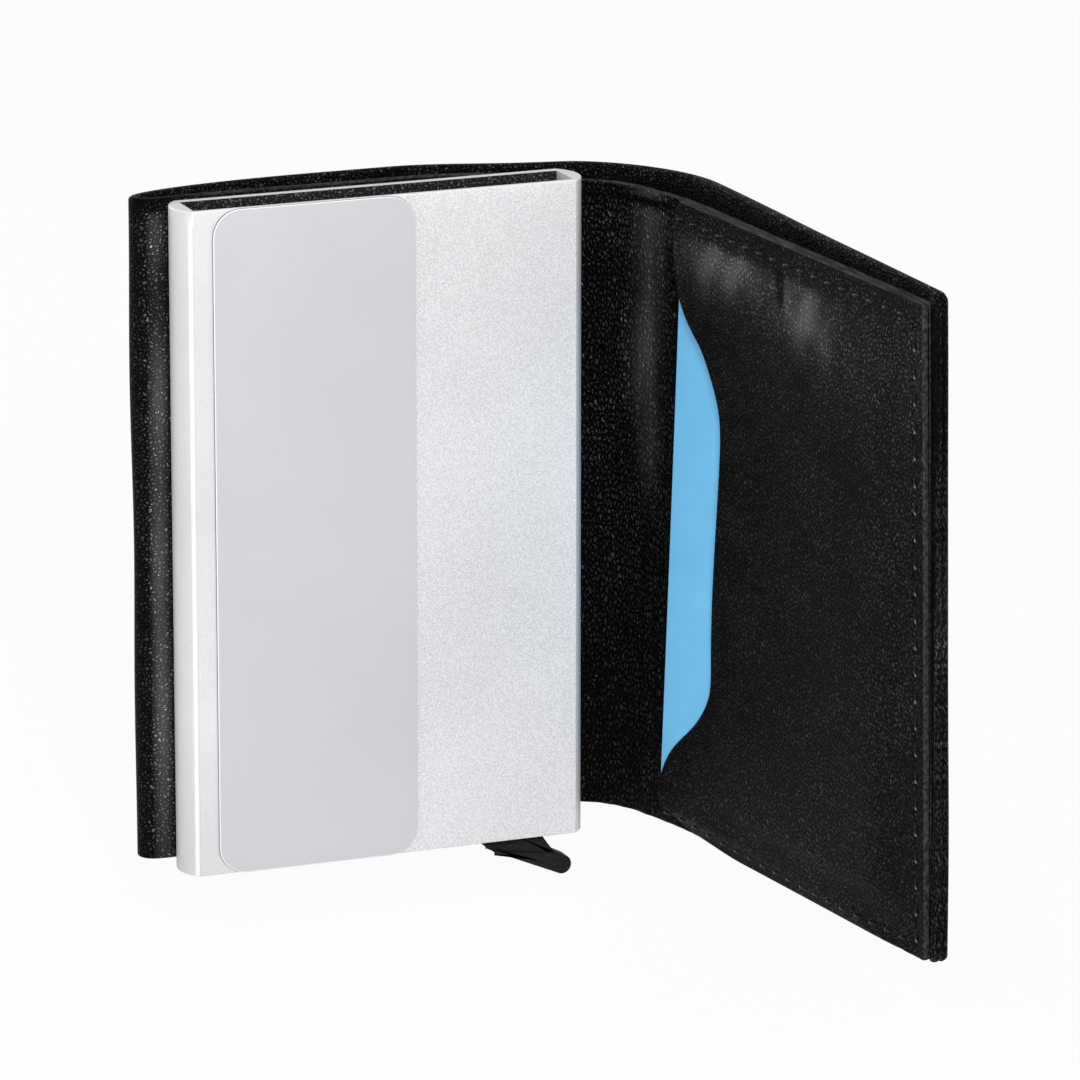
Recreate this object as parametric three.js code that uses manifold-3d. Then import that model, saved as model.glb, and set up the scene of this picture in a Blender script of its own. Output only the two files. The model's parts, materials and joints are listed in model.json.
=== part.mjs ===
// Card wallet: a black leather bifold wrap carrying an aluminium card case, standing open.
// Millimetres, +Z up. X runs along the case, +Y points to the back of the wallet.
// The origin is the middle of the flat outer face of the back cover.

import * as THREE from 'three';
import { mergeVertices } from 'three/addons/utils/BufferGeometryUtils.js';
import Module from 'manifold-3d';

const wasm = await Module();
wasm.setup();

// Payment cards
const CARD_WIDTH = 53.98;
const CARD_HEIGHT = 85.6;
const CARD_THICKNESS = 0.76;
const CARD_CORNER = 3.18;
const CARD_COUNT = 5;

// Clearances
const FIT = 0.3;
const GLUE = 0.05;

// Aluminium case
const CARD_SIDE_CLEARANCE = 0.93;
const CARD_STACK_SLACK = 0.9;
const CARD_TOP_CLEARANCE = 2.4;
const CASE_WALL = 0.9;
const CASE_END_WALL = 2.2;
const CASE_END_BULGE = 1.9;
const PAD_THICKNESS = 0.8;
const PAD_MARGIN = 1.1;
const PLATE_WIDTH = 29.6;
const PLATE_THICKNESS = 0.35;
const PLATE_CORNER = 4;
const PLATE_SIDE_MARGIN = 4.6;

// End cap and eject lever
const CAP_HEIGHT = 7;
const CAP_FLOOR = 1;
const CAP_CHEEK = 0.8;
const CAP_RECESS = 0.4;
const PIN_RADIUS = 1;
const PIVOT_FROM_SIDE = 10.6;
const PIVOT_HEIGHT = 3.2;
const HUB_RADIUS = 2.4;
const HUB_PROUD = 0.1;
const ARM_SHORTEST = 24;
const ARM_STEP = 3;
const ARM_TIP_RADIUS = 1.2;
const FIN_WEB = 2.4;
const FIN_HEEL = new THREE.Vector2(-4.2, -4.6);
const FIN_TIP = new THREE.Vector2(7.6, -8.5);
const FIN_TIP_RADIUS = 1.4;
const FIN_TIP_END = THREE.MathUtils.degToRad(400);
const FIN_SHOULDER = new THREE.Vector2(4.9, -4.5);
const PAD_HEEL_STEP = new THREE.Vector2(1.2, -0.8);
const PAD_SHOULDER_STEP = new THREE.Vector2(1.8, -2.1);
const WEB_ROOT = 0.15;

// Leather
const COVER_THICKNESS = 1;
const LINING_THICKNESS = 0.7;
const POCKET_THICKNESS = 0.8;
const BOND_THICKNESS = 0.3;
const NOTE_GAP = 6.4;
const FOLD_REACH = 3.9;
const COVER_BOTTOM = 0.4;
const COVER_TOP_ABOVE_CASE = 0.4;
const COVER_DROP_TO_SPINE = 1.4;
const FLAP_DROOP = 0.9;
const LINING_BOTTOM = 0.6;
const PANEL_MARGIN = 2.1;

// Spine: the strip of leather between the two creases
const SPINE_CLEARANCE = 4.2;
const CREASE_DEPTH = 1.8;
const SPINE_LENGTH = 22.2;
const SPINE_ANGLE = THREE.MathUtils.degToRad(-57.3);
const SPINE_RADIUS = 25;
const SPINE_SKIN = 1.4;
const CREASE_HALF = 1;
const CREASE_TRIM = 0.3;
const CREASE_GAP = 0.15;
const LINING_SLACK = 5.6;
const TAIL_LENGTH = 6.6;
const TAIL_RISE = 1.9;
const SPINE_LINING_START = new THREE.Vector2(2.7, 0.4);
const SPINE_LINING_HEADING = THREE.MathUtils.degToRad(2.3);

// Flap
const FLAP_ANGLE = THREE.MathUtils.degToRad(-26.1);
const FLAP_TAPER = THREE.MathUtils.degToRad(-3.1);
const FLAP_SKIN = 1.65;
const FLAP_LINING_DEPTH = 3.29;
const FLAP_START = 1.6;
const FLAP_OVERHANG = 2.6;
const BEAD_WIDTH = 2.2;
const BEAD_THICKNESS = 0.9;
const SEAM_MARGIN = 2;
const POCKET_SLACK = 1.9;
const THUMB_TOP_EAR = 15;
const THUMB_BOTTOM_EAR = 13;
const THUMB_DEPTH = 11.4;
const THUMB_SWEEP = 14;

// Derived sizes
const cavityWidth = CARD_WIDTH + 2 * CARD_SIDE_CLEARANCE;
const cavityDepth = CARD_COUNT * CARD_THICKNESS + 2 * PAD_THICKNESS + CARD_STACK_SLACK;
const caseWidth = cavityWidth + 2 * CASE_END_WALL;
const caseDepth = cavityDepth + 2 * CASE_WALL;
const caseHeight = CAP_HEIGHT + CARD_HEIGHT + CARD_TOP_CLEARANCE;
const caseMidY = -caseDepth / 2;
const pivot = new THREE.Vector3(caseWidth / 2 - PIVOT_FROM_SIDE, caseMidY, PIVOT_HEIGHT);
const padHeel = FIN_HEEL.clone().add(PAD_HEEL_STEP);
const padShoulder = FIN_SHOULDER.clone().add(PAD_SHOULDER_STEP);
const rootHeel = padHeel.clone().lerp(FIN_TIP, WEB_ROOT);
const rootShoulder = padShoulder.clone().lerp(FIN_TIP, WEB_ROOT);
const panelFace = BOND_THICKNESS + 2 * GLUE;
const backFace = panelFace + 2 * COVER_THICKNESS + NOTE_GAP;
const coverTopBack = caseHeight + COVER_TOP_ABOVE_CASE;
const coverTopSpine = coverTopBack - COVER_DROP_TO_SPINE;
const pocketHeight = CARD_HEIGHT + 2 * SEAM_MARGIN + POCKET_SLACK;
const liningTop = LINING_BOTTOM + pocketHeight;
const creaseA = new THREE.Vector2(caseWidth / 2 + SPINE_CLEARANCE, backFace - CREASE_DEPTH);
const foldX = -caseWidth / 2 - FOLD_REACH;
const flapLength = creaseA.x - foldX + FLAP_OVERHANG;
const pocketEnd = flapLength - BEAD_WIDTH - FIT;

const leatherGrain = () => new THREE.MeshStandardMaterial({ color: 0x141416, roughness: 0.55, metalness: 0 });
const leatherSmooth = () => new THREE.MeshStandardMaterial({ color: 0x19191b, roughness: 0.4, metalness: 0 });
const aluminium = () => new THREE.MeshStandardMaterial({ color: 0xd9dadb, roughness: 0.38, metalness: 1 });
const satinFilm = () => new THREE.MeshStandardMaterial({ color: 0xc4c6c8, roughness: 0.3, metalness: 0.6 });
const foam = () => new THREE.MeshStandardMaterial({ color: 0x101011, roughness: 0.95, metalness: 0 });
const nylon = () => new THREE.MeshStandardMaterial({ color: 0x161617, roughness: 0.5, metalness: 0 });
const steel = () => new THREE.MeshStandardMaterial({ color: 0xa8abb0, roughness: 0.3, metalness: 1 });
const tape = () => new THREE.MeshStandardMaterial({ color: 0x3a3a3c, roughness: 0.8, metalness: 0 });
const cardBlue = () => new THREE.MeshStandardMaterial({ color: 0x6db9e6, roughness: 0.45, metalness: 0 });

function named(name, geometry, material) {
  const mesh = new THREE.Mesh(geometry, material);
  mesh.name = name;
  return mesh;
}

// A closed solid for joining and cutting, made from the positions of a geometry.
function solid(geometry) {
  const bare = geometry.clone();
  bare.deleteAttribute('normal');
  bare.deleteAttribute('uv');
  const merged = mergeVertices(bare);
  return new wasm.Manifold(new wasm.Mesh({
    numProp: 3,
    vertProperties: new Float32Array(merged.attributes.position.array),
    triVerts: new Uint32Array(merged.index.array),
  }));
}

function geometryOf(body) {
  const data = body.getMesh();
  const geometry = new THREE.BufferGeometry();
  geometry.setAttribute('position', new THREE.BufferAttribute(new Float32Array(data.vertProperties), 3));
  geometry.setIndex(new THREE.BufferAttribute(new Uint32Array(data.triVerts), 1));
  geometry.computeVertexNormals();
  return geometry;
}

// A box given by its low and high corners.
function block(low, high) {
  const size = high.map((value, axis) => value - low[axis]);
  const geometry = new THREE.BoxGeometry(...size);
  return geometry.translate(...low.map((value, axis) => value + size[axis] / 2));
}

// A shape drawn in X and Z, given a thickness in Y from one face to the other.
function plate(shape, yLow, yHigh, curveSegments = 8) {
  const geometry = new THREE.ExtrudeGeometry(shape, { depth: yHigh - yLow, bevelEnabled: false, curveSegments });
  return geometry.rotateX(Math.PI / 2).translate(0, yHigh, 0);
}

function roundedRectangle(left, bottom, right, top, radius) {
  const shape = new THREE.Shape();
  shape.moveTo(left + radius, bottom);
  shape.lineTo(right - radius, bottom);
  shape.absarc(right - radius, bottom + radius, radius, -Math.PI / 2, 0);
  shape.lineTo(right, top - radius);
  shape.absarc(right - radius, top - radius, radius, 0, Math.PI / 2);
  shape.lineTo(left + radius, top);
  shape.absarc(left + radius, top - radius, radius, Math.PI / 2, Math.PI);
  shape.lineTo(left, bottom + radius);
  shape.absarc(left + radius, bottom + radius, radius, Math.PI, 1.5 * Math.PI);
  return shape;
}

// A station is a point on the outer face of a leather strip seen from above, with the
// heading of the strip there and the heights of its lower and upper edge.
function station(x, y, heading, bottom, top) {
  return { x, y, heading, bottom, top };
}

// A standing strip of leather through its stations; the outer face is on the left of the heading.
function strip(stations, thickness) {
  const positions = [];
  for (const { x, y, heading, bottom, top } of stations) {
    const innerX = x + thickness * Math.sin(heading);
    const innerY = y - thickness * Math.cos(heading);
    positions.push(x, y, bottom, x, y, top, innerX, innerY, top, innerX, innerY, bottom);
  }
  const index = [0, 2, 1, 0, 3, 2];
  for (let k = 0; k + 1 < stations.length; k += 1) {
    for (let corner = 0; corner < 4; corner += 1) {
      const next = (corner + 1) % 4;
      const [a, b, c, d] = [4 * k + corner, 4 * k + next, 4 * k + 4 + next, 4 * k + 4 + corner];
      index.push(a, c, d, a, b, c);
    }
  }
  const last = 4 * (stations.length - 1);
  index.push(last, last + 1, last + 2, last, last + 2, last + 3);
  const geometry = new THREE.BufferGeometry();
  geometry.setAttribute('position', new THREE.Float32BufferAttribute(positions, 3));
  geometry.setIndex(index);
  geometry.computeVertexNormals();
  return geometry;
}

// Stations along a smooth bend from one station to another, held short of both by a gap.
function bend(from, to, gap, steps) {
  const span = Math.hypot(to.x - from.x, to.y - from.y);
  const reach = span / 3;
  const curve = new THREE.CubicBezierCurve(
    new THREE.Vector2(from.x, from.y),
    new THREE.Vector2(from.x + reach * Math.cos(from.heading), from.y + reach * Math.sin(from.heading)),
    new THREE.Vector2(to.x - reach * Math.cos(to.heading), to.y - reach * Math.sin(to.heading)),
    new THREE.Vector2(to.x, to.y),
  );
  const stations = [];
  for (let k = 0; k <= steps; k += 1) {
    const t = THREE.MathUtils.lerp(gap / span, 1 - gap / span, k / steps);
    const point = curve.getPoint(t);
    const heading = curve.getTangent(t).angle();
    const bottom = THREE.MathUtils.lerp(from.bottom, to.bottom, t);
    const top = THREE.MathUtils.lerp(from.top, to.top, t);
    stations.push(station(point.x, point.y, heading, bottom, top));
  }
  return stations;
}

// The same station seen from the frame that carries a turned frame at the given origin.
function carried(local, origin, angle) {
  const point = new THREE.Vector2(local.x, local.y).rotateAround(new THREE.Vector2(), angle).add(origin);
  return station(point.x, point.y, local.heading + angle, local.bottom, local.top);
}

// Aluminium tube with flat front and back, bulged ends and a square card space.
function caseShell() {
  const straight = caseWidth / 2 - CASE_END_BULGE;
  const profile = new THREE.Shape();
  profile.moveTo(-straight, -caseDepth);
  profile.lineTo(straight, -caseDepth);
  profile.absellipse(straight, caseMidY, CASE_END_BULGE, caseDepth / 2, -Math.PI / 2, Math.PI / 2);
  profile.lineTo(-straight, 0);
  profile.absellipse(-straight, caseMidY, CASE_END_BULGE, caseDepth / 2, Math.PI / 2, 1.5 * Math.PI);
  const space = new THREE.Path();
  space.moveTo(-cavityWidth / 2, -caseDepth + CASE_WALL);
  space.lineTo(-cavityWidth / 2, -CASE_WALL);
  space.lineTo(cavityWidth / 2, -CASE_WALL);
  space.lineTo(cavityWidth / 2, -caseDepth + CASE_WALL);
  profile.holes.push(space);
  return new THREE.ExtrudeGeometry(profile, { depth: caseHeight, bevelEnabled: false, curveSegments: 16 });
}

// Smooth plate on the left part of the front face, over the whole height.
function frontPlate() {
  const left = -caseWidth / 2 + PLATE_SIDE_MARGIN;
  const shape = roundedRectangle(left, 0, left + PLATE_WIDTH, caseHeight, PLATE_CORNER);
  const face = -caseDepth - GLUE;
  return plate(shape, face - PLATE_THICKNESS, face);
}

// Foam that holds the cards, on the inner side of the front or back wall.
function pad(yWall, direction) {
  const halfWidth = cavityWidth / 2 - PAD_MARGIN;
  const faces = [yWall + direction * GLUE, yWall + direction * (GLUE + PAD_THICKNESS)];
  const low = [-halfWidth, Math.min(...faces), CAP_HEIGHT + PAD_MARGIN];
  return block(low, [halfWidth, Math.max(...faces), caseHeight - PAD_MARGIN]);
}

// Plug in the bottom of the tube: two cheeks and a floor around the channel of the lever.
function endCap() {
  const halfWidth = cavityWidth / 2 - FIT;
  const yLow = -caseDepth + CASE_WALL + FIT;
  const yHigh = -CASE_WALL - FIT;
  const armLongest = ARM_SHORTEST + (CARD_COUNT - 1) * ARM_STEP;
  const slotReach = FIN_HEEL.length() + 2 * FIT;
  const slotRight = Math.max(FIN_SHOULDER.x, HUB_RADIUS) + 2 * FIT;
  const body = solid(block([-halfWidth, yLow, CAP_RECESS], [halfWidth, yHigh, CAP_HEIGHT - FIT]));
  const channelLow = [pivot.x - armLongest - 2 * FIT, yLow + CAP_CHEEK, CAP_RECESS + CAP_FLOOR];
  const channel = block(channelLow, [pivot.x + slotRight, yHigh - CAP_CHEEK, CAP_HEIGHT + FIT]);
  const slotLow = [pivot.x - slotReach, yLow + CAP_CHEEK, CAP_RECESS - FIT];
  const slot = block(slotLow, [pivot.x + slotRight, yHigh - CAP_CHEEK, CAP_HEIGHT + FIT]);
  const bore = new THREE.CylinderGeometry(PIN_RADIUS + FIT, PIN_RADIUS + FIT, caseDepth, 24);
  bore.translate(pivot.x, pivot.y, pivot.z);
  return geometryOf(body.subtract(solid(channel)).subtract(solid(slot)).subtract(solid(bore)));
}

function leverPin() {
  const length = cavityDepth - 2 * FIT;
  return new THREE.CylinderGeometry(PIN_RADIUS, PIN_RADIUS, length, 24).translate(pivot.x, pivot.y, pivot.z);
}

// One arm of the lever, drawn around the pivot: a tapered finger with a round tip.
function armShape(length) {
  const underside = CAP_RECESS + CAP_FLOOR + FIT - PIVOT_HEIGHT;
  const tipX = -length + ARM_TIP_RADIUS;
  const shape = new THREE.Shape();
  shape.moveTo(0, underside);
  shape.lineTo(0, HUB_RADIUS - FIT);
  shape.lineTo(tipX, underside + 2 * ARM_TIP_RADIUS);
  shape.absarc(tipX, underside + ARM_TIP_RADIUS, ARM_TIP_RADIUS, Math.PI / 2, 1.5 * Math.PI);
  return shape;
}

// Web of the finger fin, from the hub down into the finger pad.
function finWebShape() {
  const shape = new THREE.Shape();
  shape.moveTo(FIT - HUB_RADIUS, 0);
  shape.lineTo(FIN_HEEL.x, FIN_HEEL.y);
  shape.lineTo(rootHeel.x, rootHeel.y);
  shape.lineTo(rootShoulder.x, rootShoulder.y);
  shape.lineTo(FIN_SHOULDER.x, FIN_SHOULDER.y);
  shape.lineTo(HUB_RADIUS - FIT, 0);
  return shape;
}

// Finger pad of the fin: a wedge that ends in a round tip.
function finPadShape() {
  const underside = FIN_TIP.clone().sub(padHeel).angle();
  const shape = new THREE.Shape();
  shape.moveTo(padShoulder.x, padShoulder.y);
  shape.lineTo(padHeel.x, padHeel.y);
  shape.absarc(FIN_TIP.x, FIN_TIP.y, FIN_TIP_RADIUS, underside - Math.PI / 2, FIN_TIP_END);
  return shape;
}

// Eject lever: a hub, one arm for each card in steps of length, and the finger fin.
function ejectLever() {
  const slice = (cavityDepth - 2 * FIT - 2 * CAP_CHEEK - 2 * FIT) / CARD_COUNT;
  const yLow = -slice * CARD_COUNT / 2;
  const hub = new THREE.CylinderGeometry(HUB_RADIUS, HUB_RADIUS, slice * CARD_COUNT + 2 * HUB_PROUD, 32);
  let body = solid(hub);
  for (let k = 0; k < CARD_COUNT; k += 1) {
    const shape = armShape(ARM_SHORTEST + k * ARM_STEP);
    body = body.add(solid(plate(shape, yLow + k * slice, -yLow)));
  }
  body = body.add(solid(plate(finWebShape(), -FIN_WEB / 2, FIN_WEB / 2)));
  body = body.add(solid(plate(finPadShape(), yLow, -yLow)));
  const bore = new THREE.CylinderGeometry(PIN_RADIUS + FIT, PIN_RADIUS + FIT, caseDepth, 24);
  return geometryOf(body.subtract(solid(bore))).translate(pivot.x, pivot.y, pivot.z);
}

// Adhesive sheet between the case and the leather panel behind it.
function bondSheet() {
  const halfWidth = caseWidth / 2 - CASE_END_BULGE - PANEL_MARGIN;
  const low = [-halfWidth, GLUE, PANEL_MARGIN];
  return block(low, [halfWidth, GLUE + BOND_THICKNESS, caseHeight - PANEL_MARGIN]);
}

const coverAtSpine = station(0, 0, 0, COVER_BOTTOM, coverTopSpine);
const backCoverEnd = station(creaseA.x - CREASE_HALF, backFace, 0, COVER_BOTTOM, coverTopSpine);

// Cover leather of the back: the panel behind the case, the round fold and the outer back panel.
function backCover() {
  const foldRadius = (backFace - panelFace) / 2;
  const foldCentreX = foldX + foldRadius;
  const foldSteps = 12;
  const stations = [
    station(caseWidth / 2 - PANEL_MARGIN, panelFace, Math.PI, COVER_BOTTOM, coverTopBack),
  ];
  for (let k = 0; k <= foldSteps; k += 1) {
    const heading = Math.PI * (1 - k / foldSteps);
    const x = foldCentreX - foldRadius * Math.sin(heading);
    const y = panelFace + foldRadius + foldRadius * Math.cos(heading);
    stations.push(station(x, y, heading, COVER_BOTTOM, coverTopBack));
  }
  stations.push(station(0, backFace, 0, COVER_BOTTOM, coverTopBack));
  stations.push(backCoverEnd);
  return strip(stations, COVER_THICKNESS);
}

// Cover leather of the spine: a shallow arc between the creases.
function spineCoverStations() {
  const half = SPINE_LENGTH / 2;
  const centreY = SPINE_SKIN - Math.sqrt(SPINE_RADIUS ** 2 - half ** 2);
  const edge = Math.asin((half - CREASE_TRIM) / SPINE_RADIUS);
  const steps = 8;
  const stations = [];
  for (let k = 0; k <= steps; k += 1) {
    const heading = THREE.MathUtils.lerp(edge, -edge, k / steps);
    const x = half - SPINE_RADIUS * Math.sin(heading);
    const y = centreY + SPINE_RADIUS * Math.cos(heading);
    stations.push({ ...coverAtSpine, x, y, heading });
  }
  return stations;
}

// Cover leather of the flap: a flat panel that closes up on the lining towards its free end.
function flapCoverStations() {
  const at = (distance) => station(
    distance,
    FLAP_SKIN + distance * Math.tan(FLAP_TAPER),
    FLAP_TAPER,
    COVER_BOTTOM,
    coverTopSpine - FLAP_DROOP * distance / flapLength,
  );
  return [at(2 * CREASE_TRIM), at(flapLength)];
}

const flapOrigin = new THREE.Vector2(SPINE_LENGTH, 0);
const spineCover = spineCoverStations();
const flapCover = flapCoverStations();

// Lining: a tail inside the note space, the spine stretch and the flap stretch.
const tailStart = station(
  creaseA.x - CREASE_HALF - TAIL_LENGTH,
  backFace - COVER_THICKNESS - CREASE_GAP,
  -Math.atan2(TAIL_RISE, TAIL_LENGTH),
  LINING_BOTTOM,
  liningTop,
);
const tailEnd = { ...tailStart, x: tailStart.x + TAIL_LENGTH, y: tailStart.y - TAIL_RISE };
const liningAtFlap = (distance) => station(
  distance,
  -FLAP_LINING_DEPTH,
  0,
  LINING_BOTTOM,
  liningTop - FLAP_DROOP * Math.max(distance, 0) / flapLength,
);
const spineLiningStart = station(
  SPINE_LINING_START.x,
  SPINE_LINING_START.y,
  SPINE_LINING_HEADING,
  LINING_BOTTOM,
  liningTop,
);
const spineLiningEnd = carried(liningAtFlap(-LINING_SLACK), flapOrigin, FLAP_ANGLE);
const spineLining = bend(spineLiningStart, spineLiningEnd, 0, 6);
const flapLining = [liningAtFlap(FLAP_START), liningAtFlap(pocketEnd)];

// Turned edge along the free end of the flap, beside the end of the lining.
function endBead() {
  const outer = flapCover[1];
  const inner = {
    x: outer.x + COVER_THICKNESS * Math.sin(FLAP_TAPER),
    y: outer.y - (COVER_THICKNESS + GLUE) * Math.cos(FLAP_TAPER),
  };
  const from = station(
    inner.x - BEAD_WIDTH * Math.cos(FLAP_TAPER),
    inner.y - BEAD_WIDTH * Math.sin(FLAP_TAPER),
    FLAP_TAPER,
    outer.bottom,
    outer.top,
  );
  const to = station(inner.x, inner.y, FLAP_TAPER, outer.bottom, outer.top);
  return strip([from, to], BEAD_THICKNESS);
}

const pocketBack = -FLAP_LINING_DEPTH - LINING_THICKNESS - CARD_THICKNESS - 4 * GLUE;

// Height of the upper edge of the pocket at a distance along the flap.
function pocketTopAt(distance) {
  return liningTop - FLAP_DROOP * distance / flapLength;
}

// Front leather of the card pocket, with an S-curved thumb cut on its open side and
// a seam margin that reaches down to the lining on its three sewn sides.
function pocketFront() {
  const thumbX = FLAP_START + THUMB_DEPTH;
  const upper = liningTop - THUMB_TOP_EAR;
  const lower = LINING_BOTTOM + THUMB_BOTTOM_EAR;
  const shape = new THREE.Shape();
  shape.moveTo(FLAP_START, LINING_BOTTOM);
  shape.lineTo(pocketEnd, LINING_BOTTOM);
  shape.lineTo(pocketEnd, pocketTopAt(pocketEnd));
  shape.lineTo(FLAP_START, pocketTopAt(FLAP_START));
  shape.lineTo(FLAP_START, upper);
  shape.bezierCurveTo(
    FLAP_START, upper - THUMB_SWEEP / 2,
    thumbX, upper - THUMB_SWEEP / 2,
    thumbX, upper - THUMB_SWEEP,
  );
  shape.lineTo(thumbX, lower + THUMB_SWEEP);
  shape.bezierCurveTo(
    thumbX, lower + THUMB_SWEEP / 2,
    FLAP_START, lower + THUMB_SWEEP / 2,
    FLAP_START, lower,
  );
  const face = solid(plate(shape, pocketBack - POCKET_THICKNESS, pocketBack));

  const seam = new THREE.Shape();
  seam.moveTo(FLAP_START, LINING_BOTTOM);
  seam.lineTo(pocketEnd, LINING_BOTTOM);
  seam.lineTo(pocketEnd, pocketTopAt(pocketEnd));
  seam.lineTo(FLAP_START, pocketTopAt(FLAP_START));
  seam.lineTo(FLAP_START, pocketTopAt(FLAP_START) - SEAM_MARGIN);
  seam.lineTo(pocketEnd - SEAM_MARGIN, pocketTopAt(pocketEnd - SEAM_MARGIN) - SEAM_MARGIN);
  seam.lineTo(pocketEnd - SEAM_MARGIN, LINING_BOTTOM + SEAM_MARGIN);
  seam.lineTo(FLAP_START, LINING_BOTTOM + SEAM_MARGIN);
  const margin = solid(plate(seam, pocketBack - POCKET_THICKNESS / 2, -FLAP_LINING_DEPTH - LINING_THICKNESS - GLUE));
  return geometryOf(face.add(margin));
}

// One payment card standing in the pocket.
function pocketCard() {
  const bottom = LINING_BOTTOM + SEAM_MARGIN + FIT;
  const shape = roundedRectangle(FLAP_START, bottom, FLAP_START + CARD_WIDTH, bottom + CARD_HEIGHT, CARD_CORNER);
  const yHigh = -FLAP_LINING_DEPTH - LINING_THICKNESS - 2 * GLUE;
  return plate(shape, yHigh - CARD_THICKNESS, yHigh);
}

const coverCreaseBack = bend(backCoverEnd, carried(spineCover[0], creaseA, SPINE_ANGLE), CREASE_GAP, 4);
const liningCreaseBack = bend(tailEnd, carried(spineLiningStart, creaseA, SPINE_ANGLE), CREASE_GAP, 4);
const flapCoverInSpine = carried(flapCover[0], flapOrigin, FLAP_ANGLE);
const flapLiningInSpine = carried(flapLining[0], flapOrigin, FLAP_ANGLE);
const coverCreaseFlap = bend(spineCover.at(-1), flapCoverInSpine, CREASE_GAP, 4);
const liningCreaseFlap = bend(spineLiningEnd, flapLiningInSpine, CREASE_GAP, 4);

const flap = new THREE.Group();
flap.position.set(flapOrigin.x, flapOrigin.y, 0);
flap.rotation.z = FLAP_ANGLE;
flap.add(
  named('flap_cover', strip(flapCover, COVER_THICKNESS), leatherGrain()),
  named('flap_end_bead', endBead(), leatherGrain()),
  named('flap_lining', strip(flapLining, LINING_THICKNESS), leatherSmooth()),
  named('pocket_front', pocketFront(), leatherSmooth()),
  named('pocket_card', pocketCard(), cardBlue()),
);

const spine = new THREE.Group();
spine.position.set(creaseA.x, creaseA.y, 0);
spine.rotation.z = SPINE_ANGLE;
spine.add(
  named('spine_cover', strip(spineCover, COVER_THICKNESS), leatherGrain()),
  named('spine_lining', strip(spineLining, LINING_THICKNESS), leatherSmooth()),
  named('cover_crease_flap', strip(coverCreaseFlap, COVER_THICKNESS), leatherGrain()),
  named('lining_crease_flap', strip(liningCreaseFlap, LINING_THICKNESS), leatherSmooth()),
  flap,
);

const wallet = new THREE.Group();
wallet.position.set(0, -backFace, -caseHeight / 2);
wallet.add(
  named('case_shell', caseShell(), aluminium()),
  named('front_plate', frontPlate(), satinFilm()),
  named('front_pad', pad(-caseDepth + CASE_WALL, 1), foam()),
  named('rear_pad', pad(-CASE_WALL, -1), foam()),
  named('end_cap', endCap(), nylon()),
  named('lever_pin', leverPin(), steel()),
  named('eject_lever', ejectLever(), nylon()),
  named('bond_sheet', bondSheet(), tape()),
  named('back_cover', backCover(), leatherGrain()),
  named('lining_tail', strip([tailStart, tailEnd], LINING_THICKNESS), leatherSmooth()),
  named('cover_crease_back', strip(coverCreaseBack, COVER_THICKNESS), leatherGrain()),
  named('lining_crease_back', strip(liningCreaseBack, LINING_THICKNESS), leatherSmooth()),
  spine,
);

const part = new THREE.Group();
part.add(wallet);

export default part;
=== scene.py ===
"""Card wallet: leather bifold wrap and aluminium card case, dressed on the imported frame."""

import json
import math

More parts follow.
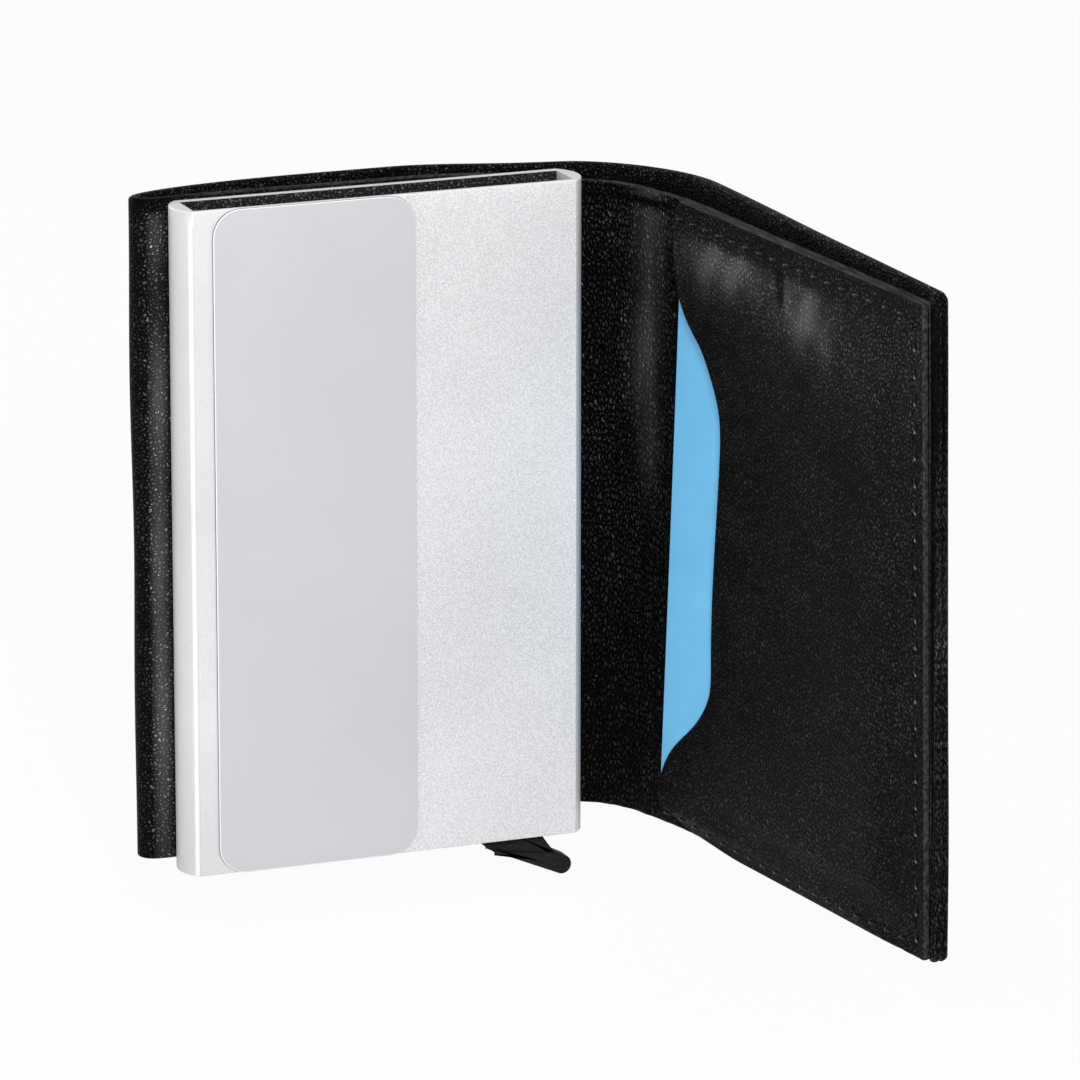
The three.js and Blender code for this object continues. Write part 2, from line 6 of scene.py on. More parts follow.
import bmesh
import bpy
import numpy as np
from mathutils import Vector
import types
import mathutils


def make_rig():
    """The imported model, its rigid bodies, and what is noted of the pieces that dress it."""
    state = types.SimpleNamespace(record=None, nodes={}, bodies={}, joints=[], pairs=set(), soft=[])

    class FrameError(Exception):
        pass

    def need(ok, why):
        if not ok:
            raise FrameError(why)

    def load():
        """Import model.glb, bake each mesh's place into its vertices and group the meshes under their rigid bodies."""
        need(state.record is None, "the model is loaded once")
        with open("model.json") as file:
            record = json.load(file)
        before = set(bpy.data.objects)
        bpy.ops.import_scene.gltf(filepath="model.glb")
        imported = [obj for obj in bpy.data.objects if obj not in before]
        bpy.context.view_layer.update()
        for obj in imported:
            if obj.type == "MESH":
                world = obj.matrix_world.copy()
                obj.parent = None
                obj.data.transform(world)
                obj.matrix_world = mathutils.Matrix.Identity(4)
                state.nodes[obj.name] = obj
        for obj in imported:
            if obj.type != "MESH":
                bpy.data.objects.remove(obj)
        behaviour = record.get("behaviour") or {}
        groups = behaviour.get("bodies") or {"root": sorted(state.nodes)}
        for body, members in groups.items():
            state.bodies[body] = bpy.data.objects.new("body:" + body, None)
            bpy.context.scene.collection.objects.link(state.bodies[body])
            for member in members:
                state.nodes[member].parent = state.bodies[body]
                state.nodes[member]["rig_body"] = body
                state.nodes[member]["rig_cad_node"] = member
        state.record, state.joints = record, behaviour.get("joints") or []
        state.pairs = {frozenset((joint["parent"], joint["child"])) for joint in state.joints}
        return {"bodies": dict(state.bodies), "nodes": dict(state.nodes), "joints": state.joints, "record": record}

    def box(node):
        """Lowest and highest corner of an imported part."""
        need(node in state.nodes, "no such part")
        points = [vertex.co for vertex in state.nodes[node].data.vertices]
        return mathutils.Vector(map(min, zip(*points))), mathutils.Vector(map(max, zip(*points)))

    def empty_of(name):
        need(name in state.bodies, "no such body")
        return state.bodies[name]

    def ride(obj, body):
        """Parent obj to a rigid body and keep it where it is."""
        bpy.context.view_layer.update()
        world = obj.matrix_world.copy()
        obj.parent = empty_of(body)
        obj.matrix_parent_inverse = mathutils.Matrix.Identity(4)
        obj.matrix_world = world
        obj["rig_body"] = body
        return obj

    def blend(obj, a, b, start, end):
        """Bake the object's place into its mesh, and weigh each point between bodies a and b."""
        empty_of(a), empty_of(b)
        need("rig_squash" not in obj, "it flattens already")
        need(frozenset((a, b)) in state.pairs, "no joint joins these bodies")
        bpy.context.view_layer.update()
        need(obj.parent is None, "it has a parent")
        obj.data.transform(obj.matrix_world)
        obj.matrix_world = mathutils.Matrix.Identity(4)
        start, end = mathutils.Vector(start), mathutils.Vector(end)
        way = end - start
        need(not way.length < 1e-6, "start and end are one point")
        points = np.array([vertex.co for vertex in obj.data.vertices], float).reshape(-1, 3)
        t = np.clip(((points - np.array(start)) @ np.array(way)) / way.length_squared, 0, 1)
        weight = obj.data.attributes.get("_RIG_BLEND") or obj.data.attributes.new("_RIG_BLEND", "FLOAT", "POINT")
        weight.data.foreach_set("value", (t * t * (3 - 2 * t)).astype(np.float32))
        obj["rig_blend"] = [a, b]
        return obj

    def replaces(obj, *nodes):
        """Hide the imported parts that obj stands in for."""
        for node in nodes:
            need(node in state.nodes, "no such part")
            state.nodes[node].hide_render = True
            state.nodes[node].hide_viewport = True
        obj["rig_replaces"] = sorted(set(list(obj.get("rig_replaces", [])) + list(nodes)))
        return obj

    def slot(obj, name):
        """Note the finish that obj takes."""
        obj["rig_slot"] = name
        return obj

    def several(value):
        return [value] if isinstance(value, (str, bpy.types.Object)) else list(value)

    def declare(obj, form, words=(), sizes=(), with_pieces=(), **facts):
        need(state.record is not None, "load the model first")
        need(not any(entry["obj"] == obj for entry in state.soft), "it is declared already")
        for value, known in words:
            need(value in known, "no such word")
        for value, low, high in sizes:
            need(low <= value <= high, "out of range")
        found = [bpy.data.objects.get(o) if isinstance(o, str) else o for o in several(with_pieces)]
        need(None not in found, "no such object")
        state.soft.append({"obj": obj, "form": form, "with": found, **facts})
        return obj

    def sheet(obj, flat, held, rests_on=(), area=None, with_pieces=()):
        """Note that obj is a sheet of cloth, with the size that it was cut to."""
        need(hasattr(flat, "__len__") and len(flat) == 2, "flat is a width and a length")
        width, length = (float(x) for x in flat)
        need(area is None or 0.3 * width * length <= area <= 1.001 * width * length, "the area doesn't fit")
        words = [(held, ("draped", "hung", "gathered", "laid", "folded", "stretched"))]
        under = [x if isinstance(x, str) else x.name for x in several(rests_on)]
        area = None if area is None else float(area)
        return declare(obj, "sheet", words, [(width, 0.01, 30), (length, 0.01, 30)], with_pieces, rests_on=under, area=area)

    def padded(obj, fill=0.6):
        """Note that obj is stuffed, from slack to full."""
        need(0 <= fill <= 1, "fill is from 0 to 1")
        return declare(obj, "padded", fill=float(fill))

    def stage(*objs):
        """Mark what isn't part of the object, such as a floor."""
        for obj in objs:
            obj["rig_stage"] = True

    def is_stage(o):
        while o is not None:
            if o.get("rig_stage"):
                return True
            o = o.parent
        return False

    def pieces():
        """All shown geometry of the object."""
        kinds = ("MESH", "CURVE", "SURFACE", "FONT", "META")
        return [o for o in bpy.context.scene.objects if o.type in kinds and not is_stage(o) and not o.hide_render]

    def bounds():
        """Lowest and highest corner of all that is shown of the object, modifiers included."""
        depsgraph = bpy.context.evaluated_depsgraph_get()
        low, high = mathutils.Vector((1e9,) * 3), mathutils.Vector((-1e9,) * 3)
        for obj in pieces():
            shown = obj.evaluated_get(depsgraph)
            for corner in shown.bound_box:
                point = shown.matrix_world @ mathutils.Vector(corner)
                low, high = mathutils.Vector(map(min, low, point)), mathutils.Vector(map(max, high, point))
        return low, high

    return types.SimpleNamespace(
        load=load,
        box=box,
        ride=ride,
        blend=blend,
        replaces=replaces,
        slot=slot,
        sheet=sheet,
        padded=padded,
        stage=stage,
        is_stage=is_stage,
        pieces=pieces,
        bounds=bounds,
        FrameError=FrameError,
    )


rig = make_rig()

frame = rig.load()
cad_low, cad_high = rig.bounds()

bl_info = {
    "name": "Card wallet",
    "version": (1, 0, 0),
    "blender": (4, 5, 0),
    "location": "View3D > Sidebar > Wallet",
    "description": "Leather, metal and stage of a card wallet on its packed frame",
    "category": "Object",
}

MM = 0.001


def node_box(node):
    """Lowest and highest corner of a CAD node, in millimetres."""
    return (np.array(corner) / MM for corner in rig.box(node))


case_low, case_high = node_box("case_shell")
JOINTS = {joint["name"]: np.array(joint["pos_m"]) / MM for joint in frame["joints"]}
BACK_CREASE = JOINTS["back_crease"][:2]
FLAP_CREASE = JOINTS["flap_crease"][:2]
LEVER_PIVOT = JOINTS["lever_pivot"]
SPINE_HEADING = math.atan2(*(FLAP_CREASE - BACK_CREASE)[::-1])
FLAP_HEADING = math.radians(-83.4)
FLAP_ALONG = np.array([math.cos(FLAP_HEADING), math.sin(FLAP_HEADING)])
FLAP_OUT = np.array([-math.sin(FLAP_HEADING), math.cos(FLAP_HEADING)])
FLOOR = cad_low[2] / MM
BASE = case_low[2]


def millimetres(name, description, default, low, high):
    """A length property in millimetres."""
    return bpy.props.FloatProperty(
        name=name, description=f"{description} in mm", default=default, min=low, max=high)


def tint(name, description, colour):
    """A colour property with four parts."""
    return bpy.props.FloatVectorProperty(
        name=name, description=description, subtype="COLOR", size=4, min=0, max=1, default=(*colour, 1))


class WalletSizes(bpy.types.PropertyGroup):
    """Sizes of the visible pieces, in millimetres."""

    cover_thickness: millimetres("Cover", "Thickness of the cover leather", 1.0, 0.5, 2.0)
    hem_thickness: millimetres("Hem", "Thickness that the turned edge adds", 0.5, 0.0, 1.0)
    hem_width: millimetres("Hem width", "Width of the turned edge", 6.5, 2.0, 12.0)
    bead_thickness: millimetres("Free edge", "Thickness of the turned free end", 1.95, 1.0, 3.0)
    lining_thickness: millimetres("Lining", "Thickness of the lining", 0.9, 0.4, 1.5)
    pocket_thickness: millimetres("Pocket", "Thickness of the pocket leather", 0.9, 0.4, 1.5)
    pocket_swell: millimetres("Swell", "How far the pocket stands off its seam", 1.5, 0.0, 1.8)
    stitch_pitch: millimetres("Stitch", "Distance from stitch to stitch", 3.7, 2.0, 6.0)
    top_inset: millimetres("Upper seam", "Distance of the seam from the upper edge", 2.5, 1.0, 5.0)
    foot_inset: millimetres("Lower seam", "Distance of the seam from the lower edge", 1.65, 1.0, 5.0)
    end_inset: millimetres("End seam", "Distance of the seam from the sewn end", 2.4, 1.0, 5.0)
    thread_width: millimetres("Thread", "Width of the thread", 0.5, 0.2, 1.0)
    rim_radius: millimetres("Rim", "Rounding of the case's rim", 0.2, 0.05, 0.45)
    plate_corner: millimetres("Plate corner", "Corner radius of the front plate", 4.0, 0.5, 8.0)
    card_corner: millimetres("Card corner", "Corner radius of a payment card", 3.18, 1.0, 5.0)


class WalletColours(bpy.types.PropertyGroup):
    """Colours of the finishes, in linear light."""

    cover: tint("Cover", "Grained cover leather", (0.002, 0.002, 0.0022))
    lining: tint("Lining", "Lining leather", (0.0015, 0.0015, 0.0017))
    pocket: tint("Pocket", "Pocket leather", (0.002, 0.002, 0.0022))
    paint: tint("Edge paint", "Painted edges of the leather", (0.038, 0.038, 0.040))
    thread: tint("Thread", "Sewing thread", (0.003, 0.003, 0.0032))
    aluminium: tint("Aluminium", "Blasted aluminium of the case", (0.81, 0.815, 0.83))
    plate: tint("Plate", "Satin front plate", (0.61, 0.615, 0.64))
    foam: tint("Foam", "Foam inside the case", (0.012, 0.012, 0.012))
    nylon: tint("Nylon", "Moulded lever and end cap", (0.014, 0.014, 0.015))
    steel: tint("Steel", "Lever pin", (0.55, 0.56, 0.58))
    tape: tint("Tape", "Adhesive sheet", (0.06, 0.06, 0.06))
    card: tint("Card", "Payment card", (0.195, 0.60, 0.95))


def chosen(context):
    """The user's sizes and colours."""
    return context.scene.wallet_sizes, context.scene.wallet_colours


# Shapes

SHARP_ANGLE = math.radians(48)
MERGE_DISTANCE = 2e-7
CLOSEST_POINTS = 0.05
FLAT_MARGIN = 0.15


def ease(low, high, value):
    """0 below low, 1 above high, and 3t^2 - 2t^3 between them."""
    t = np.clip((value - low) / (high - low), 0, 1)
    return t * t * (3 - 2 * t)


def ridge(value, centre, width):
    """A bell curve, exp(-((value - centre) / width)^2)."""
    return np.exp(-(((value - centre) / width) ** 2))


def waves(x, y, scale, seed):
    """A smooth field about 0: six sine waves of random direction, about one scale long, summed over 3."""
    rng = np.random.default_rng(seed)
    angle, phase = rng.uniform(0, 2 * np.pi, (2, 6))
    pitch = 2 * np.pi / (scale * rng.uniform(0.7, 1.5, 6))
    x, y = np.asarray(x)[..., None], np.asarray(y)[..., None]
    return np.sin(pitch * (x * np.cos(angle) + y * np.sin(angle)) + phase).sum(-1) / 3


def spline(points, count=4000):
    """A natural cubic spline through plan points, with chord length as its parameter."""
    points = np.asarray(points, float)
    chord = np.r_[0, np.cumsum(np.hypot(*np.diff(points, axis=0).T))]
    gap, size = np.diff(chord), len(points)
    inner = np.arange(1, size - 1)
    system, target = np.eye(size), np.zeros((size, 2))
    system[inner, inner - 1] = gap[:-1]
    system[inner, inner] = 2 * (gap[:-1] + gap[1:])
    system[inner, inner + 1] = gap[1:]
    target[1:-1] = 6 * np.diff(np.diff(points, axis=0) / gap[:, None], axis=0)
    curve = np.linalg.solve(system, target)
    t = np.linspace(0, chord[-1], count)
    k = np.clip(np.searchsorted(chord, t) - 1, 0, size - 2)
    b = ((t - chord[k]) / gap[k])[:, None]
    a, square = 1 - b, (gap[k] ** 2)[:, None] / 6
    return a * points[k] + b * points[k + 1] + ((a**3 - a) * curve[k] + (b**3 - b) * curve[k + 1]) * square


class Path:
    """A line in plan with its length, its points and its left-hand normals at any distance along it."""

    def __init__(self, points):
        self.line = spline(points)
        steps = np.hypot(*np.diff(self.line, axis=0).T)
        self.arc = np.r_[0, np.cumsum(steps)]
        tangent = np.gradient(self.line, axis=0)
        self.tangent = tangent / np.linalg.norm(tangent, axis=1, keepdims=True)

    def at(self, distance):
        """Points and normals at distances along the line."""
        point = np.stack([np.interp(distance, self.arc, axis) for axis in self.line.T], -1)
        tangent = np.stack([np.interp(distance, self.arc, axis) for axis in self.tangent.T], -1)
        return point, np.stack([-tangent[..., 1], tangent[..., 0]], -1)

    def nearest(self, point):
        """Distance along the line of its point closest to a given one."""
        return self.arc[np.argmin(np.linalg.norm(self.line - np.asarray(point), axis=1))]


def spread(length, edge, count, soft=(True, True)):
    """Even positions from 0 to length, closing up as 1 - cos over the rounding of each soft end."""
    quarter = edge * (1 - np.cos(np.linspace(0, np.pi / 2, 7)[:-1]))
    start, end = (edge if side else 0 for side in soft)
    middle = np.linspace(start, length - end, count)
    return np.r_[quarter if soft[0] else [], middle, (length - quarter[::-1]) if soft[1] else []]


def rounding(distance, edge):
    """Share of the full thickness at a distance inside a rounded edge: a quarter circle."""
    inside = np.clip(distance / edge, 0, 1)
    return np.sqrt(np.clip(1 - (1 - inside) ** 2, 0, 1))


def numbered(*shape):
    """Vertex numbers of a grid of points."""
    return np.arange(math.prod(shape)).reshape(shape)


def wrapped(grid):
    """A grid of vertex numbers whose last column is followed by its first."""
    return np.concatenate([grid, grid[..., :1]], -1)


def quads(grid):
    """Four corners of every cell of a grid, or of several grids, of vertex numbers."""
    corners = [grid[..., :-1, :-1], grid[..., 1:, :-1], grid[..., 1:, 1:], grid[..., :-1, 1:]]
    return np.stack(corners, -1).reshape(-1, 4)


def inward_normals(outline):
    """Unit normals into an anticlockwise outline: the chord between a point's neighbours, turned left."""
    chord = np.roll(outline, -1, 0) - np.roll(outline, 1, 0)
    chord /= np.linalg.norm(chord, axis=1, keepdims=True)
    return np.stack([-chord[:, 1], chord[:, 0]], -1)


def linked(name, data):
    """A new object in the scene."""
    item = bpy.data.objects.new(name, data)
    bpy.context.scene.collection.objects.link(item)
    return item


def put_mesh(name, points, *faces, uv=None, **shades):
    """One object from points in millimetres and arrays of faces, with doubled points merged and the faces
    turned outwards. Shades are values at the points that its finish reads."""
    mesh = bpy.data.meshes.new(name)
    corners = [face for array in faces for face in array.tolist()]
    mesh.from_pydata((points * MM).tolist(), [], corners)
    if uv is not None:
        corner = np.zeros(len(mesh.loops), np.int32)
        mesh.loops.foreach_get("vertex_index", corner)
        layer = mesh.uv_layers.new(name="UVMap")
        layer.data.foreach_set("uv", (uv[corner] * MM).astype(np.float32).ravel())
    for key, values in shades.items():
        mesh.attributes.new(key, "FLOAT", "POINT").data.foreach_set("value", values.astype(np.float32))
    work = bmesh.new()
    work.from_mesh(mesh)
    bmesh.ops.remove_doubles(work, verts=work.verts, dist=MERGE_DISTANCE)
    bmesh.ops.dissolve_degenerate(work, edges=work.edges, dist=MERGE_DISTANCE / 20)
    bmesh.ops.recalc_face_normals(work, faces=work.faces)
    work.to_mesh(mesh)
    work.free()
    mesh.polygons.foreach_set("use_smooth", np.ones(len(mesh.polygons), bool))
    mesh.set_sharp_from_angle(angle=SHARP_ANGLE)
    return linked(name, mesh)


def reach(points, axis):
    """Distance of every point of a grid from its last row or column, measured along the grid."""
    steps = np.flip(np.linalg.norm(np.diff(points, axis=axis), axis=-1), axis)
    run = np.flip(np.cumsum(steps, axis), axis)
    return np.pad(run, [(0, 1) if side == axis else (0, 0) for side in (0, 1)])


def put_sheet(name, middle, normal, half, rim=0.0, wear=0.0):
    """A leather sheet: a grid carried out along its normals by half its thickness on both sides, and
    closed round its border. Where the half thickness is 0 at the border, the two sides meet in a round
    edge. Its UV map is the distance over the surface from the upper edge and the far end, carried on over
    the edge. Its rim is 1 along the border and falls to 0 inside it. Its painted light is 1 where a
    highlight is painted into the finish's colour and -1 where shade is painted there; it may be one grid
    for both sides or one for each."""
    offset = normal * half[..., None]
    sides = np.stack([middle + offset, middle - offset])
    uv = [np.stack([-reach(face, 0), turn * reach(face, 1)], -1) for face, turn in zip(sides, (-1, 1))]
    grid = numbered(*half.shape)
    border = np.r_[grid[:, 0], grid[-1, 1:], grid[-2::-1, -1], grid[0, -2:0:-1]]
    after = np.roll(border, -1)
    seam = np.stack([border, after, after + grid.size, border + grid.size], -1)
    rim, wear = (np.broadcast_to(value, (2, *half.shape)).ravel() for value in (rim, wear))
    return put_mesh(
        name, sides.reshape(-1, 3), quads(grid), quads(grid + grid.size)[:, ::-1], seam,
        uv=np.stack(uv).reshape(-1, 2), rim=rim, wear=wear)


def rounded_plate(outline, low, high, radius, steps=5):
    """A flat plate of an outline in x and z, from y low to y high, as points, sides and caps. The outline
    drawn in by r(1 - cos a), at r(1 - sin a) from each face, gives round edges. A narrow flat loop follows
    each edge, so that the cap, which closes on the middle, is shaded flat."""
    turn = np.linspace(0, np.pi / 2, steps)
    flat = radius + FLAT_MARGIN
    inset = np.r_[flat, radius * (1 - np.sin(turn)), radius * (1 - np.cos(turn)), flat]
    depth = np.r_[low, low + radius * (1 - np.cos(turn)), high - radius * (1 - np.sin(turn)), high]
    loops = outline[None] + inward_normals(outline)[None] * inset[:, None, None]
    level = np.broadcast_to(depth[:, None], loops.shape[:2])
    points = np.stack([loops[..., 0], level, loops[..., 1]], -1)
    x, z = outline.mean(0)
    ring = wrapped(numbered(*level.shape))
    count = len(outline)
    caps = np.concatenate([
        np.stack([ring[0, :-1], ring[0, 1:], np.full(count, level.size)], -1),
        np.stack([ring[-1, 1:], ring[-1, :-1], np.full(count, level.size + 1)], -1),
    ])
    return np.r_[points.reshape(-1, 3), [(x, low, z), (x, high, z)]], quads(ring), caps


def joined(plates):
    """Several plates as one set of points, sides and caps."""
    points, sides, caps = zip(*plates)
    starts = np.cumsum([0, *map(len, points)])
    shifted = ([face + start for face, start in zip(part, starts)] for part in (sides, caps))
    return np.concatenate(points), *map(np.concatenate, shifted)


def arc_points(centre, radius, start, end, count):
    """Points on a circle from one angle in degrees to another."""
    angle = np.radians(np.linspace(start, end, count))
    return np.stack([centre[0] + radius * np.cos(angle), centre[1] + radius * np.sin(angle)], -1)


def filled(points, step):
    """A closed outline with points added at every step along it, less any that nearly meet the one before."""
    ring = np.r_[points, points[:1]]
    arc = np.r_[0, np.cumsum(np.hypot(*np.diff(ring, axis=0).T))]
    places = np.unique(np.r_[arc, np.arange(0, arc[-1], step)])[:-1]
    keep = np.r_[True, np.diff(places) > CLOSEST_POINTS]
    return np.stack([np.interp(places[keep], arc, axis) for axis in ring.T], -1)


def rounded_rectangle(low, high, radius, step=1.5):
    """A rectangle in x and z with quarter-circle corners."""
    left, bottom = np.add(low, radius)
    right, top = np.subtract(high, radius)
    centres = (right, bottom), (right, top), (left, top), (left, bottom)
    corners = [arc_points(centre, radius, 90 * k - 90, 90 * k, 9) for k, centre in enumerate(centres)]
    return filled(np.concatenate(corners), step)


# Finishes


class Wire:
    """A shader socket in Python sums: each operator adds a Math node."""

    def __init__(self, tree, socket=None):
        self.tree, self.socket = tree, socket

    def make(self, kind, settings=None, inputs=None, output=0):
        """A node of a kind with its settings, then the values or links of its sockets."""
        node = self.tree.nodes.new(kind)
        for key, value in (settings or {}).items():
            setattr(node, key, value)
        for key, value in (inputs or {}).items():
            if isinstance(value, Wire):
                self.tree.links.new(value.socket, node.inputs[key])
            else:
                node.inputs[key].default_value = value
        return Wire(self.tree, node.outputs[output])

    def math(self, operation, *values):
        """A Math node on values or wires."""
        return self.make("ShaderNodeMath", {"operation": operation}, dict(enumerate(values)))

    def vector(self, operation, *values):
        """A Vector Math node on vectors or wires."""
        return self.make("ShaderNodeVectorMath", {"operation": operation}, dict(enumerate(values)))

    def __add__(self, other):
        return self.math("ADD", self, other)

    def __sub__(self, other):
        return self.math("SUBTRACT", self, other)

    def __rsub__(self, other):
        return self.math("SUBTRACT", other, self)

    def __mul__(self, other):
        return self.math("MULTIPLY", self, other)

    __radd__, __rmul__ = __add__, __mul__

    def larger(self, other):
        """The larger of this value and another."""
        return self.math("MAXIMUM", self, other)

    def between(self, low, high):
        """The smooth step of this value from low to high."""
        settings = {"interpolation_type": "SMOOTHSTEP"}
        return self.make("ShaderNodeMapRange", settings, {"Value": self, "From Min": low, "From Max": high})

    def mixed(self, first, second):
        """The first colour at 0 and the second at 1."""
        return self.make("ShaderNodeMix", {"data_type": "RGBA"}, {0: self, 6: first, 7: second}, 2)

    def scaled(self, x, y, z=1.0):
        """This vector with each axis multiplied."""
        return self.vector("MULTIPLY", self, (x, y, z))

    def noise(self, scale, detail=2.0, roughness=0.5, flat=True, output="Fac"):
        """Noise on this vector, with about scale lumps to the metre."""
        settings = {"noise_dimensions": "2D" if flat else "3D"}
        inputs = {"Vector": self, "Scale": scale, "Detail": detail, "Roughness": roughness}
        return self.make("ShaderNodeTexNoise", settings, inputs, output)

    def cells(self, scale, feature="DISTANCE_TO_EDGE", output="Distance"):
        """Cells on this vector: the distance to the nearest border, or a random shade for each."""
        settings = {"voronoi_dimensions": "2D", "feature": feature}
        return self.make("ShaderNodeTexVoronoi", settings, {"Vector": self, "Scale": scale}, output)

    def warped(self, scale, amount):
        """This vector pushed about by noise, by up to half an amount in metres."""
        push = self.vector("SUBTRACT", self.noise(scale, output="Color"), (0.5, 0.5, 0.5))
        return self.vector("ADD", self, push.scaled(amount, amount, amount))

    def bumped(self, distance):
        """Normals of a height, whose 1 is a distance in metres."""
        return self.make("ShaderNodeBump", {}, {"Height": self, "Distance": distance})


class Finish:
    """A material with one Principled shader, whose fixed sockets are set by name."""

    def __init__(self, name, **fixed):
        self.material = bpy.data.materials.new(name)
        self.material.use_nodes = True
        self.tree = self.material.node_tree
        self.shader = self.tree.nodes["Principled BSDF"]
        self.wire = Wire(self.tree)
        for key, value in fixed.items():
            self.shader.inputs[key.replace("_", " ")].default_value = value

    def surface(self):
        """Distances over the surface, from the piece's UV map."""
        return self.wire.make("ShaderNodeTexCoord", output="UV")

    def place(self):
        """Place in the frame."""
        return self.wire.make("ShaderNodeTexCoord", output="Object")

    def shade(self, key):
        """A value that the mesh holds at its points."""
        return self.wire.make("ShaderNodeAttribute", {"attribute_name": key}, output="Fac")

    def set(self, **wires):
        """Links to the shader's sockets by name, and the finished material."""
        for key, wire in wires.items():
            self.tree.links.new(wire.socket, self.shader.inputs[key.replace("_", " ")])
        return self.material


def toned(colour, factor):
    """A colour made darker or lighter by a factor."""
    return (*(factor * part for part in colour[:3]), 1)


def leather(name, colour, paint, gleam, highlight_gain, pebble, depth, polish, rough,
            stretch=1.0, folds=0.0, ribs=0.0):
    """Leather: domed pebbles of uneven height, warped by noise, over broad soft folds. The finish has a
    polish on the tops of the pebbles, which take the gleam as their grey, and is matt in the valleys.
    Where the mesh holds a painted highlight, the tops reach a little into the valleys, grow more metallic
    and turn up to highlight_gain times as bright; where it holds painted shade, the tops fade into the
    ground colour. The edge is painted in streaks, and the strip beside it is wrinkled where the leather
    was turned over. Pebble is the size of a pebble and depth its height in metres, and stretch draws the
    pebbles out along the height."""
    finish = Finish(name, Specular_IOR_Level=0.03)
    surface = finish.surface()
    flow = surface.warped(700, 0.0009).warped(2200, 0.0003).scaled(1, 1 / stretch)
    pebbles = flow.cells(1 / pebble).between(0.0, 0.42)
    each = flow.cells(1 / pebble, "F1", "Color")
    small = flow.cells(2.1 / pebble).between(0.0, 0.42)
    fine = surface.noise(6000, 2)
    broad = surface.noise(90, 3)
    lines = surface.scaled(1, 0.16).warped(300, 0.0012).noise(1100, 3, 0.6)
    wrinkle = surface.warped(900, 0.0006).noise(1300, 2)
    streak = finish.place().scaled(1, 0.12).noise(1600, 3, flat=False).between(0.3, 0.7)

    near, wear = finish.shade("rim"), finish.shade("wear")
    # Painted light from the mesh: above 0 a painted highlight, below 0 painted shade.
    painted_highlight, painted_shade = wear.larger(0), (wear * -1).larger(0)
    edge, hem = near.between(0.70, 0.82), near.between(0.1, 0.6)
    tops = (pebbles * (0.55 + 0.45 * each) * 0.8 + small * 0.25 + broad * 0.3).between(0.38, 1.1)
    tops = tops * tops
    tops = (tops + (1 - tops) * painted_highlight * 0.22) * (1 - painted_shade)

    painted = streak.mixed(toned(paint, 0.35), toned(paint, 1.5))
    grey = (gleam, gleam, gleam * 1.04, 1)
    # Painted highlight: the tops' grey lightened up to highlight_gain times.
    bright = painted_highlight.mixed(grey, toned(grey, highlight_gain))
    base = edge.mixed(tops.mixed(tuple(colour), bright), painted)
    gloss = rough + 0.12 * (1 - pebbles) + 0.12 * (broad - 0.5) + 0.06 * edge
    metal = tops * (1 - edge) * (polish + painted_highlight * (1 - polish))
    skin = pebbles * (0.5 + 0.5 * each) + small * 0.35 + fine * 0.12 + lines * folds
    height = skin * (1 - edge * 0.8) + broad * 1.5 + wrinkle * hem * ribs
    return finish.set(Base_Color=base, Roughness=gloss, Metallic=metal, Normal=height.bumped(depth))


def blasted_metal(name, colour):
    """Bead-blasted aluminium: speckle in tone, gloss and height, stronger away from the left end. Where
    the rim is 1 it is nearly white and glossy: the real polish of the upper rim, and a painted highlight
    beside the corners. Where it is -1 it has a darker line of painted shade."""
    finish = Finish(name, Metallic=0.25)
    place, rim = finish.place(), finish.shade("rim")
    speck = place.noise(4600, 2, 0.6, flat=False)
    cloud = place.noise(45, 2, flat=False)
    # Rim above 0: polish on the upper rim and a painted highlight beside the corners; below 0: painted shade.
    polish_and_highlight, dark = rim.between(0.2, 0.9), rim.between(-0.2, -0.9)
    along = finish.wire.make("ShaderNodeSeparateXYZ", {}, {0: place}, "X")
    strength = 0.3 + 1.1 * along.between(-0.028, -0.002)
    tone = ((speck - 0.5) * strength + 0.45 + cloud * 0.3).between(0.3, 0.9)
    base = dark.mixed(tone.mixed(toned(colour, 0.76), toned(colour, 1.09)), toned(colour, 0.72))
    base = polish_and_highlight.mixed(base, (0.97, 0.97, 0.98, 1))
    gloss = 0.5 + 0.12 * (speck - 0.5) - 0.2 * polish_and_highlight
    return finish.set(Base_Color=base, Roughness=gloss, Normal=speck.bumped(0.00003))


def satin_plate(name, colour):
    """Smooth satin plate with faint clouds and hairline speckle. Where the rim is 1 it is painted shade in
    the gap round the plate, and where it is -1 a painted highlight along its edge."""
    finish = Finish(name, Metallic=0.2, Specular_IOR_Level=0.2)
    place, rim = finish.place(), finish.shade("rim")
    cloud = place.noise(38, 3, flat=False)
    speck = place.noise(7000, 2, flat=False)
    tone = (cloud * 0.8 + speck * 0.2).between(0.2, 0.85)
    base = tone.mixed(toned(colour, 0.955), toned(colour, 1.03))
    # Painted shade in the gap round the plate.
    base = rim.between(0.1, 0.9).mixed(base, (0.02, 0.02, 0.022, 1))
    # Painted highlight along the plate's edge.
    base = rim.between(-0.1, -0.9).mixed(base, (0.95, 0.95, 0.96, 1))
    return finish.set(Base_Color=base, Roughness=0.5 + 0.1 * cloud, Normal=speck.bumped(0.000004))


def card_face(name, colour):
    """Plain printed card: one colour with the faintest mottling."""
    finish = Finish(name, Specular_IOR_Level=0.2)
    cloud = finish.place().noise(160, 4, flat=False)
    base = cloud.between(0.25, 0.75).mixed(toned(colour, 0.97), toned(colour, 1.03))
    return finish.set(Base_Color=base, Roughness=0.5 + 0.08 * cloud, Normal=cloud.bumped(0.00001))


